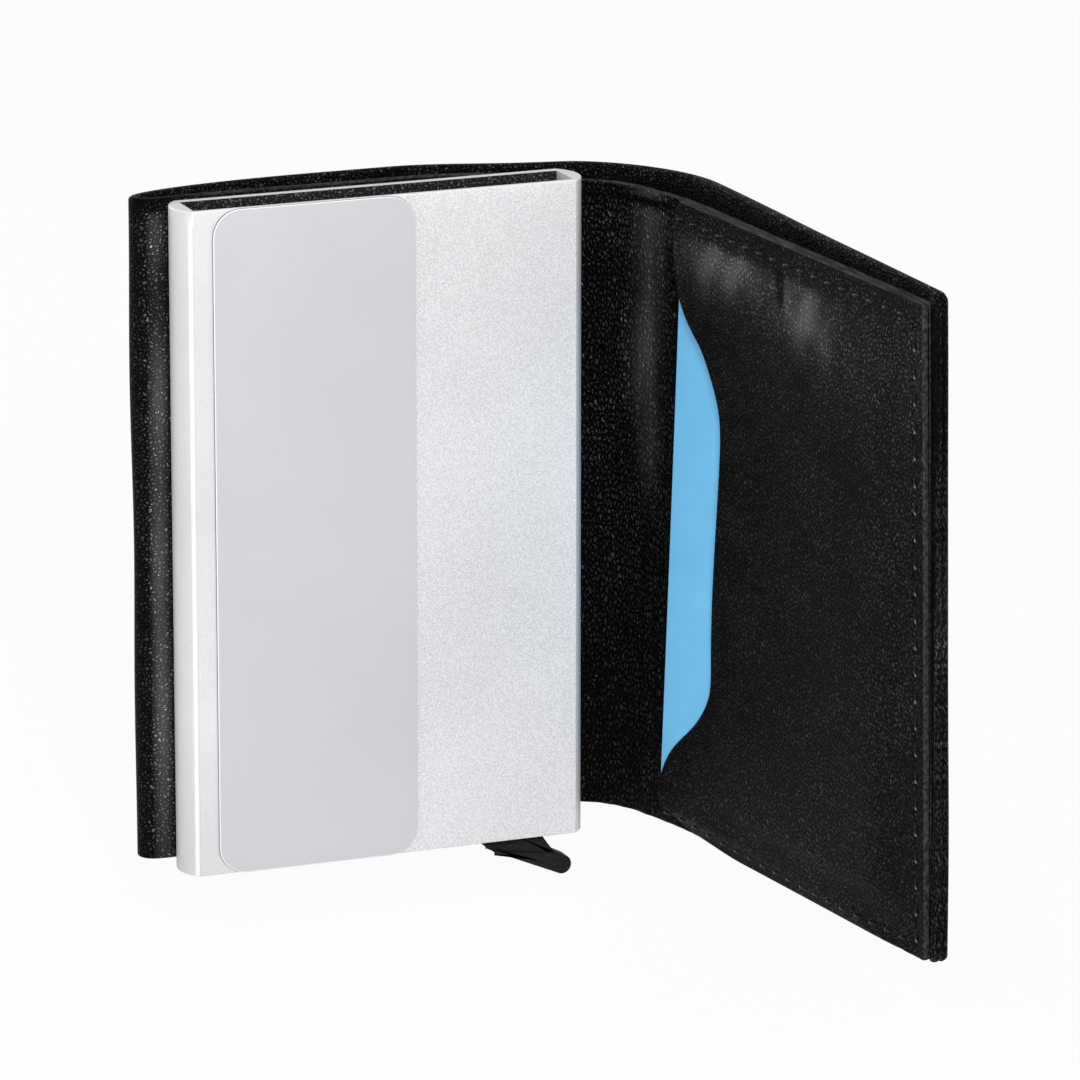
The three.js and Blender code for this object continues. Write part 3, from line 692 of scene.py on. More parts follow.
def speckled(name, colour, sparkle, size, rough, depth):
    """Foam or moulded plastic: dark ground, specks of a paler grey and a grain of one size in metres."""
    finish = Finish(name, Specular_IOR_Level=0.08)
    grain = finish.place().noise(1 / size, 3, 0.65, flat=False)
    base = grain.between(0.54, 0.66).mixed(tuple(colour), sparkle)
    return finish.set(Base_Color=base, Roughness=rough + 0.2 * (grain - 0.5), Normal=grain.bumped(depth))


def ground_steel(name, colour):
    """Ground steel: fine rings round the pin, as noise drawn out across its length."""
    finish = Finish(name, Metallic=1.0)
    lines = finish.place().scaled(0.3, 6, 0.3).noise(900, 3, flat=False)
    base = lines.mixed(toned(colour, 0.8), tuple(colour))
    return finish.set(Base_Color=base, Roughness=0.25 + 0.2 * lines, Normal=lines.bumped(0.00001))


def spun_thread(name, colour):
    """Twisted thread: uneven dark bands along each stitch, with a painted glint in its colour where the mesh says so.
    """
    finish = Finish(name, Specular_IOR_Level=0.12)
    twist = finish.surface().noise(2600, 2)
    base = twist.mixed(toned(colour, 0.6), toned(colour, 1.6))
    # Painted glint: a light grey in the thread's colour.
    base = finish.shade("glint").mixed(base, (0.3, 0.3, 0.31, 1))
    return finish.set(Base_Color=base, Roughness=0.2 + 0.2 * twist, Normal=twist.bumped(0.00008))


def coat(mesh, material):
    """A mesh with one material."""
    mesh.materials.clear()
    mesh.materials.append(material)


def dress(piece, material, slot, body=None, replaced=()):
    """Material, record slot, body and the CAD nodes that a piece stands for."""
    coat(piece.data, material)
    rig.slot(piece, slot)
    if replaced:
        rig.replaces(piece, *replaced)
    if body:
        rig.ride(piece, body)


# Lines of the leather in plan, in millimetres. The cover is drawn along its outer face and the lining along
# its front face, and both run from the back panel round to the free end.

FLAP_LENGTH = 70.3
LINING_LENGTH = 68.2
FLAP_TAPER = math.tan(math.radians(3.1))
COVER_OUT = 1.65
LINING_OUT = -3.9
FLAP_STATIONS = (3.0, 12.0, 30.0, 50.0)
PAST_FREE_END = 5.0
ROUND_FOLD = (-30.7, -8.62)
COVER_CUT = (44.1, -9.7)
LINING_CUT = (39.9, -12.0)
PAST_SPINE = -12.0
COVER_TOP = 95.4
LINING_TOP = 92.1
FREE_END_SLOPE = -0.029
HALF_HEIGHT = 46
SLOPE_RUN = 66


def metres(plan):
    """A plan point in millimetres as a point of the frame in metres."""
    return (plan[0] * MM, plan[1] * MM, 0.0)


def raised(plan, height):
    """Points from plan points and heights above the foot of the case."""
    return np.concatenate([plan, (height + BASE)[..., None]], -1)


def on_flap(along, out):
    """Plan point of the flap: distance along it from its crease and distance out of it."""
    along, out = np.asarray(along)[..., None], np.asarray(out)[..., None]
    return FLAP_CREASE + along * FLAP_ALONG + out * FLAP_OUT


def along_flap(plan):
    """Distance along the flap of plan points."""
    return (plan - FLAP_CREASE) @ FLAP_ALONG


def fold_line(crease, heading, before, after):
    """Start and end of a bend: points before and after a crease along the heading through it."""
    along = np.array([math.cos(heading), math.sin(heading)])
    return {"start": metres(crease - before * along), "end": metres(crease + after * along)}


def bend_halves(back, flap):
    """The two halves of a strip, cut at the middle of the spine, each bend at their own crease."""
    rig.blend(back, "back", "spine", **fold_line(BACK_CREASE, SPINE_HEADING / 2, 1.5, 3.5))
    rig.blend(flap, "spine", "flap", **fold_line(FLAP_CREASE, (SPINE_HEADING + FLAP_HEADING) / 2, 3, 3))


def cover_path():
    """Cover: panel behind the case, round fold, back, spine and flap, as one smooth line."""
    flap = np.array([*FLAP_STATIONS, FLAP_LENGTH + PAST_FREE_END])
    return Path(np.concatenate([
        [(28.0, -8.4), (10, -8.4), (-10, -8.4), (-24, -8.42), (-30.4, -8.62), (-33.1, -7.9), (-34.0, -6.3)],
        [(-33.2, -4.5), (-31.2, -3.3), (-28.6, -2.4), (-22.4, -1.1), (-10.7, -0.1), (0, 0), (12, 0), (24, 0)],
        [(30.5, -0.1), (33.6, -0.55), (37.0, -2.3), (41.2, -5.9), (45.0, -11.2), (47.2, -16.6)],
        on_flap(flap, COVER_OUT - flap * FLAP_TAPER),
    ]))


def lining_path():
    """Lining: a tail inside the note space, the hollow of the spine and the straight flap."""
    flap = np.array([*FLAP_STATIONS, LINING_LENGTH + PAST_FREE_END])
    return Path(np.concatenate([
        [(26.7, -2.0), (30.0, -2.9), (33.0, -3.9), (35.3, -5.2), (37.4, -7.2), (39.2, -10.2), (40.5, -14.2)],
        [on_flap(-2.2, -4.35)],
        on_flap(flap, np.full(len(flap), LINING_OUT)),
    ]))


def cover_top(plan):
    """Height of the cover's upper edge above the foot of the case: it falls by 1.3 mm towards the spine,
    and by 1.7 mm more along the flap."""
    past = plan[..., 1] < PAST_SPINE
    back = COVER_TOP - 1.3 * np.where(past, 1, ease(6, 34, plan[..., 0]))
    return back - 1.7 * np.where(past, np.clip(along_flap(plan) / FLAP_LENGTH, 0, 1), 0)


def lining_top(along):
    """Height of the upper edge of the lining and the pocket, 1.3 mm lower at the free end."""
    return LINING_TOP - 1.3 * np.clip(along / LINING_LENGTH, 0, 1)


def free_end(height):
    """How far the free end stands out at a height: further at its foot than at its top."""
    return FREE_END_SLOPE * (height - HALF_HEIGHT)


def sloped(end):
    """The slope of the free end as a shift along a strip, growing evenly towards its end."""
    start = end - SLOPE_RUN
    return lambda place, height: free_end(height) * np.clip((place - start) / SLOPE_RUN, 0, 1)


def corner_cut(distance, radius):
    """What a quarter-circle corner takes away at a distance from the end."""
    near = np.clip(radius - distance, 0, radius)
    return radius - np.sqrt(radius**2 - near**2)


def border_shade(inside):
    """1 on the border of a sheet, falling as exp(-d / 0.8 mm) inside it."""
    return np.exp(-inside / 0.8)


class WALLET_OT_case(bpy.types.Operator):
    """Aluminium case: a flat tube with bulged ends and a rounded rim"""

    bl_idname = "wallet.case"
    bl_label = "Case"

    def execute(self, context):
        """Every loop of the tube has as many points: a flat front, an end, and both again turned by half a
        circle. Outside, the end is an arc through the corners, and inside it is straight. The wall's
        section runs up the outside, over the rounded rim, down the inside and back under the foot. The
        rim is 1 at the top, where the case has a polish, 1 beside the four corners for a painted highlight,
        and -1 on the corners for a painted line of shade."""
        sizes, colours = chosen(context)
        radius, bulge, wall, end_wall = sizes.rim_radius, 1.9, 0.65, 2.2
        flat, bow, short_of_corner = 31, 41, 0.9957
        half, depth, _ = (case_high - case_low) / 2
        bow_radius = (depth**2 + bulge**2) / (2 * bulge)
        turn = np.linspace(-1, 1, bow) * math.asin(depth / bow_radius)
        right = np.stack([half - bow_radius + bow_radius * np.cos(turn), bow_radius * np.sin(turn)], -1)
        straight = np.r_[-short_of_corner, np.linspace(-1, 1, flat)[1:-1], short_of_corner]
        front = np.stack([straight * (half - bulge), np.full(flat, -depth)], -1)
        outer = np.concatenate([front, right, -front, -right])
        room_x, room_y = half - end_wall, depth - wall
        inner_right = np.stack([np.full(bow, room_x), np.linspace(-1, 1, bow) * room_y], -1)
        inner_front = np.stack([straight * room_x, np.full(flat, -room_y)], -1)
        inner = np.concatenate([inner_front, inner_right, -inner_front, -inner_right])

        foot, top = case_low[2], case_high[2]
        bend = np.linspace(0, np.pi / 2, 6)
        drawn_in, short = radius * (1 - np.cos(bend)), radius * (1 - np.sin(bend))
        rise = np.linspace(foot + radius, top - radius, 40)
        inset = np.r_[drawn_in[::-1], 0 * rise, drawn_in, 0, 0][:, None, None]
        height = np.r_[foot + short[::-1], rise, top - short, top, foot]
        within = np.arange(len(height))[:, None, None] >= len(height) - 2
        plan = np.where(within, inner, outer + inward_normals(outer) * inset)
        level = np.broadcast_to(height[:, None, None], plan.shape[:2] + (1,))
        points = np.concatenate([plan + (0, (case_low[1] + case_high[1]) / 2), level], -1)
        ring = wrapped(numbered(*plan.shape[:2]))
        ring = np.r_[ring, ring[:1]]

        outside = len(bend) + len(rise)
        corner = np.array([flat, flat + bow - 1, 2 * flat + bow, 2 * (flat + bow) - 1])
        beside = corner[:, None] + np.outer([1, -1, 1, -1], [1, 2, 3])
        rim = np.repeat(ease(top - 0.3, top, height)[:, None], plan.shape[1], 1)
        # Painted highlight in a band beside each corner.
        rim[:outside, beside.ravel()] = 1
        # Painted line of shade on each corner.
        rim[:outside, corner] = -1
        piece = put_mesh("case_tube", points.reshape(-1, 3), quads(ring), rim=rim.ravel())
        metal = blasted_metal("case_aluminium", colours.aluminium)
        dress(piece, metal, "case_aluminium", "back", ["case_shell"])
        return {"FINISHED"}


class WALLET_OT_plate(bpy.types.Operator):
    """Satin plate on the front of the case"""

    bl_idname = "wallet.plate"
    bl_label = "Front plate"

    def execute(self, context):
        """A rounded rectangle with round edges. By the depth below its face, as a share of the rounding,
        its rim is -1 for a painted highlight along the edge and 1 for painted shade in the gap beside the case."""
        sizes, colours = chosen(context)
        low, high = node_box("front_plate")
        outline = rounded_rectangle(low[[0, 2]], high[[0, 2]], sizes.plate_corner)
        bevel = min(0.22, 0.48 * (case_low[1] - low[1]))
        points, sides, caps = rounded_plate(outline, low[1], case_low[1], bevel)
        into = (points[:, 1] - low[1]) / bevel
        # Painted shade on the back of the bevel, painted highlight on its front.
        rim = ease(0.5, 0.6, into) - ease(0.03, 0.07, into) * (1 - ease(0.35, 0.5, into))
        piece = put_mesh("front_plate_face", points, sides, caps, rim=rim)
        dress(piece, satin_plate("plate_satin", colours.plate), "plate_satin", "back", ["front_plate"])
        return {"FINISHED"}


class WALLET_OT_foam(bpy.types.Operator):
    """Foam pads on both inner walls of the case"""

    bl_idname = "wallet.foam"
    bl_label = "Foam pads"

    def execute(self, context):
        """A cushion of foam: a grid whose half thickness is rounded off at its border and varies in waves
        of a twentieth. The rear pad, which is seen from above, fills the space up to the rim."""
        edge, end_wall, over_wall, below_rim = 0.4, 2.25, 0.25, 0.08
        foam = speckled(
            "pad_foam", context.scene.wallet_colours.foam, sparkle=(0.20, 0.20, 0.20, 1), size=0.00035,
            rough=0.85, depth=0.00025)
        for node, name in (("front_pad", "front_foam"), ("rear_pad", "rear_foam")):
            low, high = node_box(node)
            if node == "rear_pad":
                low[0], high[0] = case_low[0] + end_wall, case_high[0] - end_wall
                high[1:] = high[1] + over_wall, case_high[2] - below_rim
            x = spread(high[0] - low[0], edge, 60) + low[0]
            z = spread(high[2] - low[2], edge, 80) + low[2]
            x, z = np.meshgrid(x, z, indexing="ij")
            inside_x = np.minimum(x - low[0], high[0] - x)
            inside_z = np.minimum(z - low[2], high[2] - z)
            half = (high[1] - low[1]) / 2 * rounding(inside_x, edge) * rounding(inside_z, edge)
            half *= 0.94 + 0.05 * waves(x, z, 6.0, 3)
            middle = np.stack([x, np.full_like(x, (low[1] + high[1]) / 2), z], -1)
            normal = np.broadcast_to((0.0, 1.0, 0.0), middle.shape)
            piece = put_sheet(name, middle, normal, half)
            dress(piece, foam, "pad_foam", "back", [node])
            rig.padded(piece, fill=0.9)
        return {"FINISHED"}


class WALLET_OT_lever(bpy.types.Operator):
    """Eject lever: hub, five stepped arms, thin web and thick finger pad, all with rounded edges"""

    bl_idname = "wallet.lever"
    bl_label = "Eject lever"

    def execute(self, context):
        """Every part is a rounded plate whose outline is drawn about the pivot. Each arm is one step
        longer than the last and one slice thinner, so that together they make stairs. The end cap, the
        pin and the adhesive sheet keep their CAD shapes and get their finishes here."""
        colours, nodes = context.scene.wallet_colours, frame["nodes"]
        x, y, z = LEVER_PIVOT
        place = np.array([x, z])
        half, web_half, hub_proud = 1.75, 1.2, 0.1
        arm_count, shortest, arm_step, slice_width = 5, 24, 3, 0.7
        tip_radius, arm_foot, arm_top = 1.2, -1.5, 2.1
        hub = arc_points((0, 0), 2.4, 0, 360, 49)[:-1]
        web = np.array([(-2.1, 0), (-4.1, -4.6), (-3.3, -5.3), (6.9, -7.1), (5.1, -4.6), (2.1, 0)])
        pad = np.r_[[(6.7, -6.6), (-3.0, -5.4)], arc_points((7.6, -8.5), 1.4, 254, 400, 19)]
        plates = [
            rounded_plate(hub + place, y - half - hub_proud, y + half + hub_proud, 0.2),
            rounded_plate(filled(web, 0.5) + place, y - web_half, y + web_half, 0.2),
            rounded_plate(filled(pad, 0.4) + place, y - half, y + half, 0.35),
        ]
        for step in range(arm_count):
            centre = (tip_radius - shortest - arm_step * step, arm_foot + tip_radius)
            arm = np.r_[[(0, arm_foot), (0, arm_top)], arc_points(centre, tip_radius, 90, 270, 13)]
            start = y - half + step * slice_width
            plates.append(rounded_plate(filled(arm, 1.0) + place, start, y + half, 0.15))
        piece = put_mesh("lever_body", *joined(plates))
        nylon = speckled(
            "nylon_black", colours.nylon, sparkle=(0.03, 0.03, 0.031, 1), size=0.00022, rough=0.5,
            depth=0.00003)
        tape = speckled(
            "bond_tape", colours.tape, sparkle=(0.12, 0.12, 0.12, 1), size=0.0006, rough=0.8, depth=0.00002)
        dress(piece, nylon, "nylon_black", "lever", ["eject_lever"])
        coat(nodes["end_cap"].data, nylon)
        coat(nodes["lever_pin"].data, ground_steel("pin_steel", colours.steel))
        coat(nodes["bond_sheet"].data, tape)
        return {"FINISHED"}


STRIP_HEIGHT = 90.0
FAR_AWAY = 1e3


def standing_strip(name, path, places, bottom, top, thickness, side, edge, soft, bulge, lean, wear,
                   count=56, limit=None):
    """A strip of leather on its edge: plan points of a path at places, rows from bottom to top, and a
    thickness to the right of the line (side -1) or to the left (side 1). The half thickness falls to 0 as
    a quarter circle at the upper and lower edge and at each soft end. Bulge moves it off the line, lean
    shifts each height along the path, and limit holds the border's shade down."""
    rows = spread(STRIP_HEIGHT, edge, count)
    height = bottom[:, None] + rows[None] * ((top - bottom) / STRIP_HEIGHT)[:, None]
    run = places[:, None] + lean(places[:, None], height)
    plan, normal = path.at(run)
    inside = np.minimum(height - bottom[:, None], top[:, None] - height)
    ends = np.full(len(places), FAR_AWAY)
    if soft[0]:
        ends = np.minimum(ends, places - places[0])
    if soft[1]:
        ends = np.minimum(ends, places[-1] - places)
    full = thickness(places[:, None] + 0 * height, inside)
    half = full / 2 * rounding(inside, edge) * rounding(ends, edge)[:, None]
    flat = plan + normal * (side * full / 2 + bulge(run, height))[..., None]
    middle = raised(flat, height)
    out = np.concatenate([normal, np.zeros_like(height)[..., None]], -1)
    rim = border_shade(np.minimum(inside, ends[:, None]))
    if limit:
        rim = np.minimum(rim, limit(run))
    return put_sheet(name, middle, out, half, rim, wear(run, height))


class WALLET_OT_cover(bpy.types.Operator):
    """Cover leather: one strip with turned edges, cut at the middle of the spine so that each half folds
    at one crease"""

    bl_idname = "wallet.cover"
    bl_label = "Cover leather"

    def execute(self, context):
        """Both halves, and the narrow hem along the free end, are standing strips on the cover's line in
        plan."""
        sizes, colours = chosen(context)
        grain = leather(
            "leather_grain", colours.cover, colours.paint, gleam=0.12, highlight_gain=3.2, pebble=0.00058,
            depth=0.00014, polish=1.0, rough=0.26, ribs=1.5)
        path = cover_path()
        cut, fold = path.nearest(COVER_CUT), path.nearest(ROUND_FOLD)
        end = path.nearest(on_flap(FLAP_LENGTH, COVER_OUT - FLAP_LENGTH * FLAP_TAPER))
        foot, corner_radius, cell, hem_depth, hem_edge = 0.4, 1.6, 0.55, 1.9, 0.3

        def thickness(place, inside):
            """The leather, and the turned edge up to its width, which thins out towards the free end."""
            hem = sizes.hem_thickness * (1 - ease(sizes.hem_width - 1, sizes.hem_width, inside))
            return sizes.cover_thickness + hem * (1 - ease(end - 45, end - 20, place))

        def hem_thickness(place, inside):
            """What the turned end adds to the cover."""
            return sizes.bead_thickness - sizes.cover_thickness + 0 * inside

        def swell(place, height):
            """Slow waves of a tenth of a millimetre, and as much inwards past the first 40 mm."""
            return 0.10 * waves(place, height, 34.0, 5) - 0.10 * ease(0, 40, place)

        def hem_swell(place, height):
            """The same waves, just inside the cover."""
            return swell(place, height) - sizes.cover_thickness - 0.03

        def trim(run):
            """The edge is painted only on the panel behind the case, and turned over on the rest."""
            return 1 - 0.32 * ease(fold - 8, fold - 4, run)

        def highlight_and_shade(place, height):
            """Outside: a painted highlight along the front of the round fold, darker on the smooth collar above
            it, and painted shade where the fold turns away from the light. Inside: painted shade below the
            turned edge. Both sides get a faint painted highlight on the rounding of the free end."""
            plan, _ = path.at(place)
            below = cover_top(plan) - height
            uneven = 0.75 + 0.35 * waves(place, height, 22.0, 31)
            # Painted highlight along the front of the round fold.
            held = ridge(place, fold, 1.4) * uneven * ease(1.2, 3.0, below)
            collar = ridge(place, fold + 2, 6) * (1 - ease(1.2, 2.4, below))
            # Painted shade where the fold turns away from the light.
            turned_away = ease(fold + 1.2, fold + 2.6, place) * (1 - ease(fold + 9, fold + 16, place))
            # Faint painted highlight on the rounding of the free end.
            last = 0.15 * ridge(place, end - 0.15, 0.25)
            # Painted shade inside the flap, below the turned edge, in the gap between cover and lining.
            shaded = ease(0.9, 1.6, below) * ease(fold, fold + 9, place)
            shaded = shaded * (1 - ease(end - 0.9, end - 0.4, place))
            return np.stack([held - 0.8 * collar - 0.6 * turned_away + last, last - 0.85 * shaded])

        def strip(name, start, stop, soft, full, bulge, edge, limit):
            """A stretch of the cover between two places, with the round corners of the free end."""
            count = max(int((stop - start) / cell), 5)
            places = spread(stop - start, edge, count, soft) + start
            corner = corner_cut(end - places, corner_radius)
            bottom, top = foot + corner, cover_top(path.at(places)[0]) - corner
            return standing_strip(
                name, path, places, bottom, top, full, side=-1, edge=edge, soft=soft, bulge=bulge,
                lean=sloped(end), wear=highlight_and_shade, limit=limit)

        half = sizes.cover_thickness / 2
        back = strip("cover_back", 0.0, cut, (True, False), thickness, swell, half, trim)
        flap = strip("cover_flap", cut, end, (False, True), thickness, swell, half, trim)
        turned = strip(
            "cover_end_hem", end - hem_depth, end, (True, True), hem_thickness, hem_swell, hem_edge,
            lambda run: 0.2)
        dress(back, grain, "leather_grain", None, ["back_cover", "cover_crease_back", "spine_cover"])
        dress(flap, grain, "leather_grain", None, ["cover_crease_flap", "flap_cover", "spine_cover"])
        dress(turned, grain, "leather_grain", "flap", ["flap_end_bead"])
        bend_halves(back, flap)
        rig.sheet(back, (cut * MM, 0.095), "folded", rests_on=["bond_sheet"])
        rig.sheet(flap, ((end - cut) * MM, 0.093), "folded", rests_on=["cover_back"], with_pieces=[turned])
        return {"FINISHED"}


class WALLET_OT_lining(bpy.types.Operator):
    """Lining: one strip of thinner leather, cut at the middle of the spine like the cover"""

    bl_idname = "wallet.lining"
    bl_label = "Lining"

    def execute(self, context):
        """Both halves are standing strips on the lining's line in plan, with a line pressed below the
        upper edge."""
        sizes, colours = chosen(context)
        finish = leather(
            "leather_lining", colours.lining, colours.paint, gleam=0.085, highlight_gain=3.5, pebble=0.00055,
            depth=0.00016, polish=1.0, rough=0.26, stretch=1.7, folds=1.0, ribs=0.4)
        path = lining_path()
        cut, end = path.nearest(LINING_CUT), path.nearest(on_flap(LINING_LENGTH, LINING_OUT))
        shine = path.nearest((40.3, -13.6))
        foot, corner_radius, cell, edge, rows = 0.35, 0.6, 0.6, 0.22, 150
        line_height = lining_top(0) - 2.1

        def before_flap(place):
            """1 over the spine, 0 on the flap."""
            return 1 - ease(26, 34, place)

        def thickness(place, inside):
            """The same all over."""
            return sizes.lining_thickness + 0 * place

        def pressed(place, height):
            """The pressed line that carries on the seam, and long soft folds in the hollow of the spine."""
            line = ridge(height, line_height, 0.55)
            folds = waves(place * 3.2, height * 0.25, 9.0, 11)
            return ease(6, 14, place) * before_flap(place) * (0.38 * line + 0.12 * folds)

        def highlight_and_shade(place, height):
            """A painted highlight on the spine beside the case, most towards the top, painted shade in the pressed
            line, and darker towards the foot."""
            uneven = 0.8 + 0.3 * waves(place, height, 18.0, 33)
            # Painted highlight on the spine beside the case.
            bright = ridge(place, shine, 3.2) * (0.15 + 0.85 * ease(25, 85, height)) * uneven
            line = ridge(height, line_height, 0.5) * before_flap(place)
            low = (1 - ease(15, 70, height)) * before_flap(place)
            # Painted shade in the pressed line; darker towards the foot.
            return bright * (1 - line) - 0.95 * line - 0.4 * low

        def strip(name, start, stop, soft):
            """A stretch of the lining between two places, with the round corners of the sewn end."""
            places = spread(stop - start, edge, int((stop - start) / cell), soft) + start
            corner = corner_cut(end - places, corner_radius)
            bottom, top = foot + corner, lining_top(along_flap(path.at(places)[0])) - corner
            return standing_strip(
                name, path, places, bottom, top, thickness, side=1, edge=edge, soft=soft, bulge=pressed,
                lean=sloped(end), wear=highlight_and_shade, count=rows)

        back = strip("lining_back", 0.0, cut, (True, False))
        flap = strip("lining_flap", cut, end, (False, True))
        dress(back, finish, "leather_smooth", None, ["lining_tail", "lining_crease_back", "spine_lining"])
        dress(flap, finish, "leather_smooth", None, ["lining_crease_flap", "flap_lining", "spine_lining"])
        bend_halves(back, flap)
        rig.sheet(back, (cut * MM, 0.092), "stretched", rests_on=["cover_back"])
        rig.sheet(flap, ((end - cut) * MM, 0.092), "stretched", rests_on=["cover_flap"])
        return {"FINISHED"}


# The pocket: heights are above the foot of the case, and depths are in front of the crease of the flap.

SEAM_LEVEL = 4.85
THUMB_CUT = np.array([
    (0.4, 7.5), (0.7, 5.4), (1.3, 3.4), (2.2, 1.6), (3.4, 0.3), (5.2, -0.4), (8.2, 0.2), (11.7, 2.1),
    (16.0, 6.8), (20.1, 10.8), (23.5, 12.8), (28.0, 13.2), (44.2, 13.8), (58.0, 14.9), (61.8, 15.0),
    (64.6, 14.5), (67.2, 13.3), (69.7, 11.6), (72.1, 9.6), (74.3, 6.7), (78.6, 3.0), (84.0, 1.3),
    (88.5, 0.4), (90.2, 0.5), (91.4, 1.2), (92.2, 2.8),
])
CARD_WIDTH, CARD_HEIGHT, CARD_THICKNESS = 53.98, 85.6, 0.76
CARD_CORNER = (-1.3, 3.75)
CARD_COS, CARD_SIN = math.cos(math.radians(1.6)), math.sin(math.radians(1.6))
# Places of the first stitch of the upper, the lower and the end seam, and a place near the sewn end.
FIRST_UPPER, FIRST_LOWER, FIRST_END = 2.2, 0.6, 1.4
SEWN = 60


def pocket_foot(along):
    """Height of the pocket's lower edge, which rises towards the open side."""
    return 0.45 + 0.9 * (1 - ease(2, 20, along))


def thumb_edge(height):
    """Where the open side of the pocket runs: two ears and an S-curve at each end of a straight cut."""
    curve = spline(THUMB_CUT)
    return np.interp(height, curve[:, 0], curve[:, 1])


def seam_gaps(along, height, sizes):
    """Distances of a place on the pocket from its upper, lower and end seam, positive inside them."""
    to_top = lining_top(along) - height - sizes.top_inset
    to_foot = height - pocket_foot(along) - sizes.foot_inset
    to_end = LINING_LENGTH + free_end(height) - along - sizes.end_inset
    return to_top, to_foot, to_end


def card_depth(along, height):
    """Depth of the card's front: flat on the lining at the top, lifted towards its lower left corner."""
    low = np.clip((79.1 - height) / 68.6, 0, 1.1)
    return 4.80 + 1.5 * low * (1 - 0.55 * ease(-2, 5, along) - 0.45 * ease(5, 22, along))


def over_card(along, height, sizes):
    """Depth past the seam level that clears the card: 0.08 mm in front of it, falling away outside its
    outline."""
    across, up = along - CARD_CORNER[0], height - CARD_CORNER[1]
    across, up = across * CARD_COS - up * CARD_SIN, across * CARD_SIN + up * CARD_COS
    inside = np.minimum((CARD_WIDTH - 4 - across) * 0.15, np.minimum(up, CARD_HEIGHT - up))
    clear = card_depth(along, height) + 0.08 + sizes.pocket_thickness - SEAM_LEVEL
    return clear * ease(-2.8, 0.8, inside)


def pocket_front(along, height, sizes):
    """How far out of the flap the pocket's front lies, below 0: the seam level, a swell that dies away at the
    three sewn sides, a ridge in lobes below the upper seam with a crease between them, a line pressed
    along the seams with a quilted wave from stitch to stitch, and puckers at the end seam. Over the card
    it stands at least the leather's thickness in front of it."""
    to_top, to_foot, to_end = seam_gaps(along, height, sizes)
    nearest = np.minimum(np.minimum(to_top, to_foot), to_end)
    full = 1 - np.exp(-np.clip(to_top + 0.3, 0, 99) / 3.2)
    full = full * ease(-0.3, 7, to_foot) * ease(-0.3, 12, to_end)
    shape = full * (sizes.pocket_swell + 0.10 * waves(along, height, 40.0, 21))
    crease = ridge(along - 0.25 * to_top, 30.5, 1.2)
    lobes = 0.7 + 0.4 * np.cos((along - 15) / 27 * 2 * np.pi) - 0.5 * crease
    shape = shape + 0.3 * ridge(to_top, 5.0, 4.0) * lobes * ease(-2, 12, to_end)
    over = over_card(along, height, sizes)
    shape = np.maximum(shape, over) + 0.06 * np.exp(-np.abs(shape - over) / 0.12)
    shape = shape - 0.22 * ridge(nearest, 0, 0.42) + 0.1 * (1 - ease(-1.7, -0.6, nearest))
    first_end = pocket_foot(SEWN) + sizes.foot_inset + FIRST_END
    runs = along - FIRST_UPPER, along - FIRST_LOWER, height - first_end
    for gap, run in zip((to_top, to_foot, to_end), runs):
        stitch = np.cos(2 * np.pi * run / sizes.stitch_pitch)
        shape = shape - 0.09 * stitch * np.exp(-np.abs(gap - 0.5) / 0.7) * ease(-1.2, -0.2, nearest)
    pucker = np.sin((height + 0.38 * along + 0.5 * waves(along, height, 7.0, 8)) * 2 * np.pi / 2.1)
    shape = shape + 0.05 * pucker * ease(0, 1, to_end) * (1 - ease(3, 15, to_end))
    return -(SEAM_LEVEL + shape)


def pocket_wear(along, height, sizes):
    """Painted light on the pocket: two painted highlights on the swelling below the upper seam, painted
    shade in the crease between them, and a darker patch near the foot."""
    below, _, _ = seam_gaps(along, height, sizes)
    # Painted highlights on the two lobes of the swelling.
    first = ridge(along, 15.5, 12) * ridge(below, 3.4, 4)
    second = ridge(along - 0.35 * below, 36, 7) * ridge(below, 5.5, 5) + 0.15 * ridge(below, 8, 9)
    low = -0.12 * ridge(height, 14, 9) * ease(8, 24, along) * (1 - ease(46, 64, along))
    uneven = 0.85 + 0.25 * waves(along, height, 9.0, 35)
    patches = (first + second + low) * uneven * ease(0.5, 2.2, below)
    # Painted shade in the crease between the lobes.
    crease = ridge(along - 0.25 * below, 30, 0.9) * (1 - ease(2, 9, below)) * ease(-0.5, 0.5, below)
    return patches * (1 - crease) - 0.7 * crease


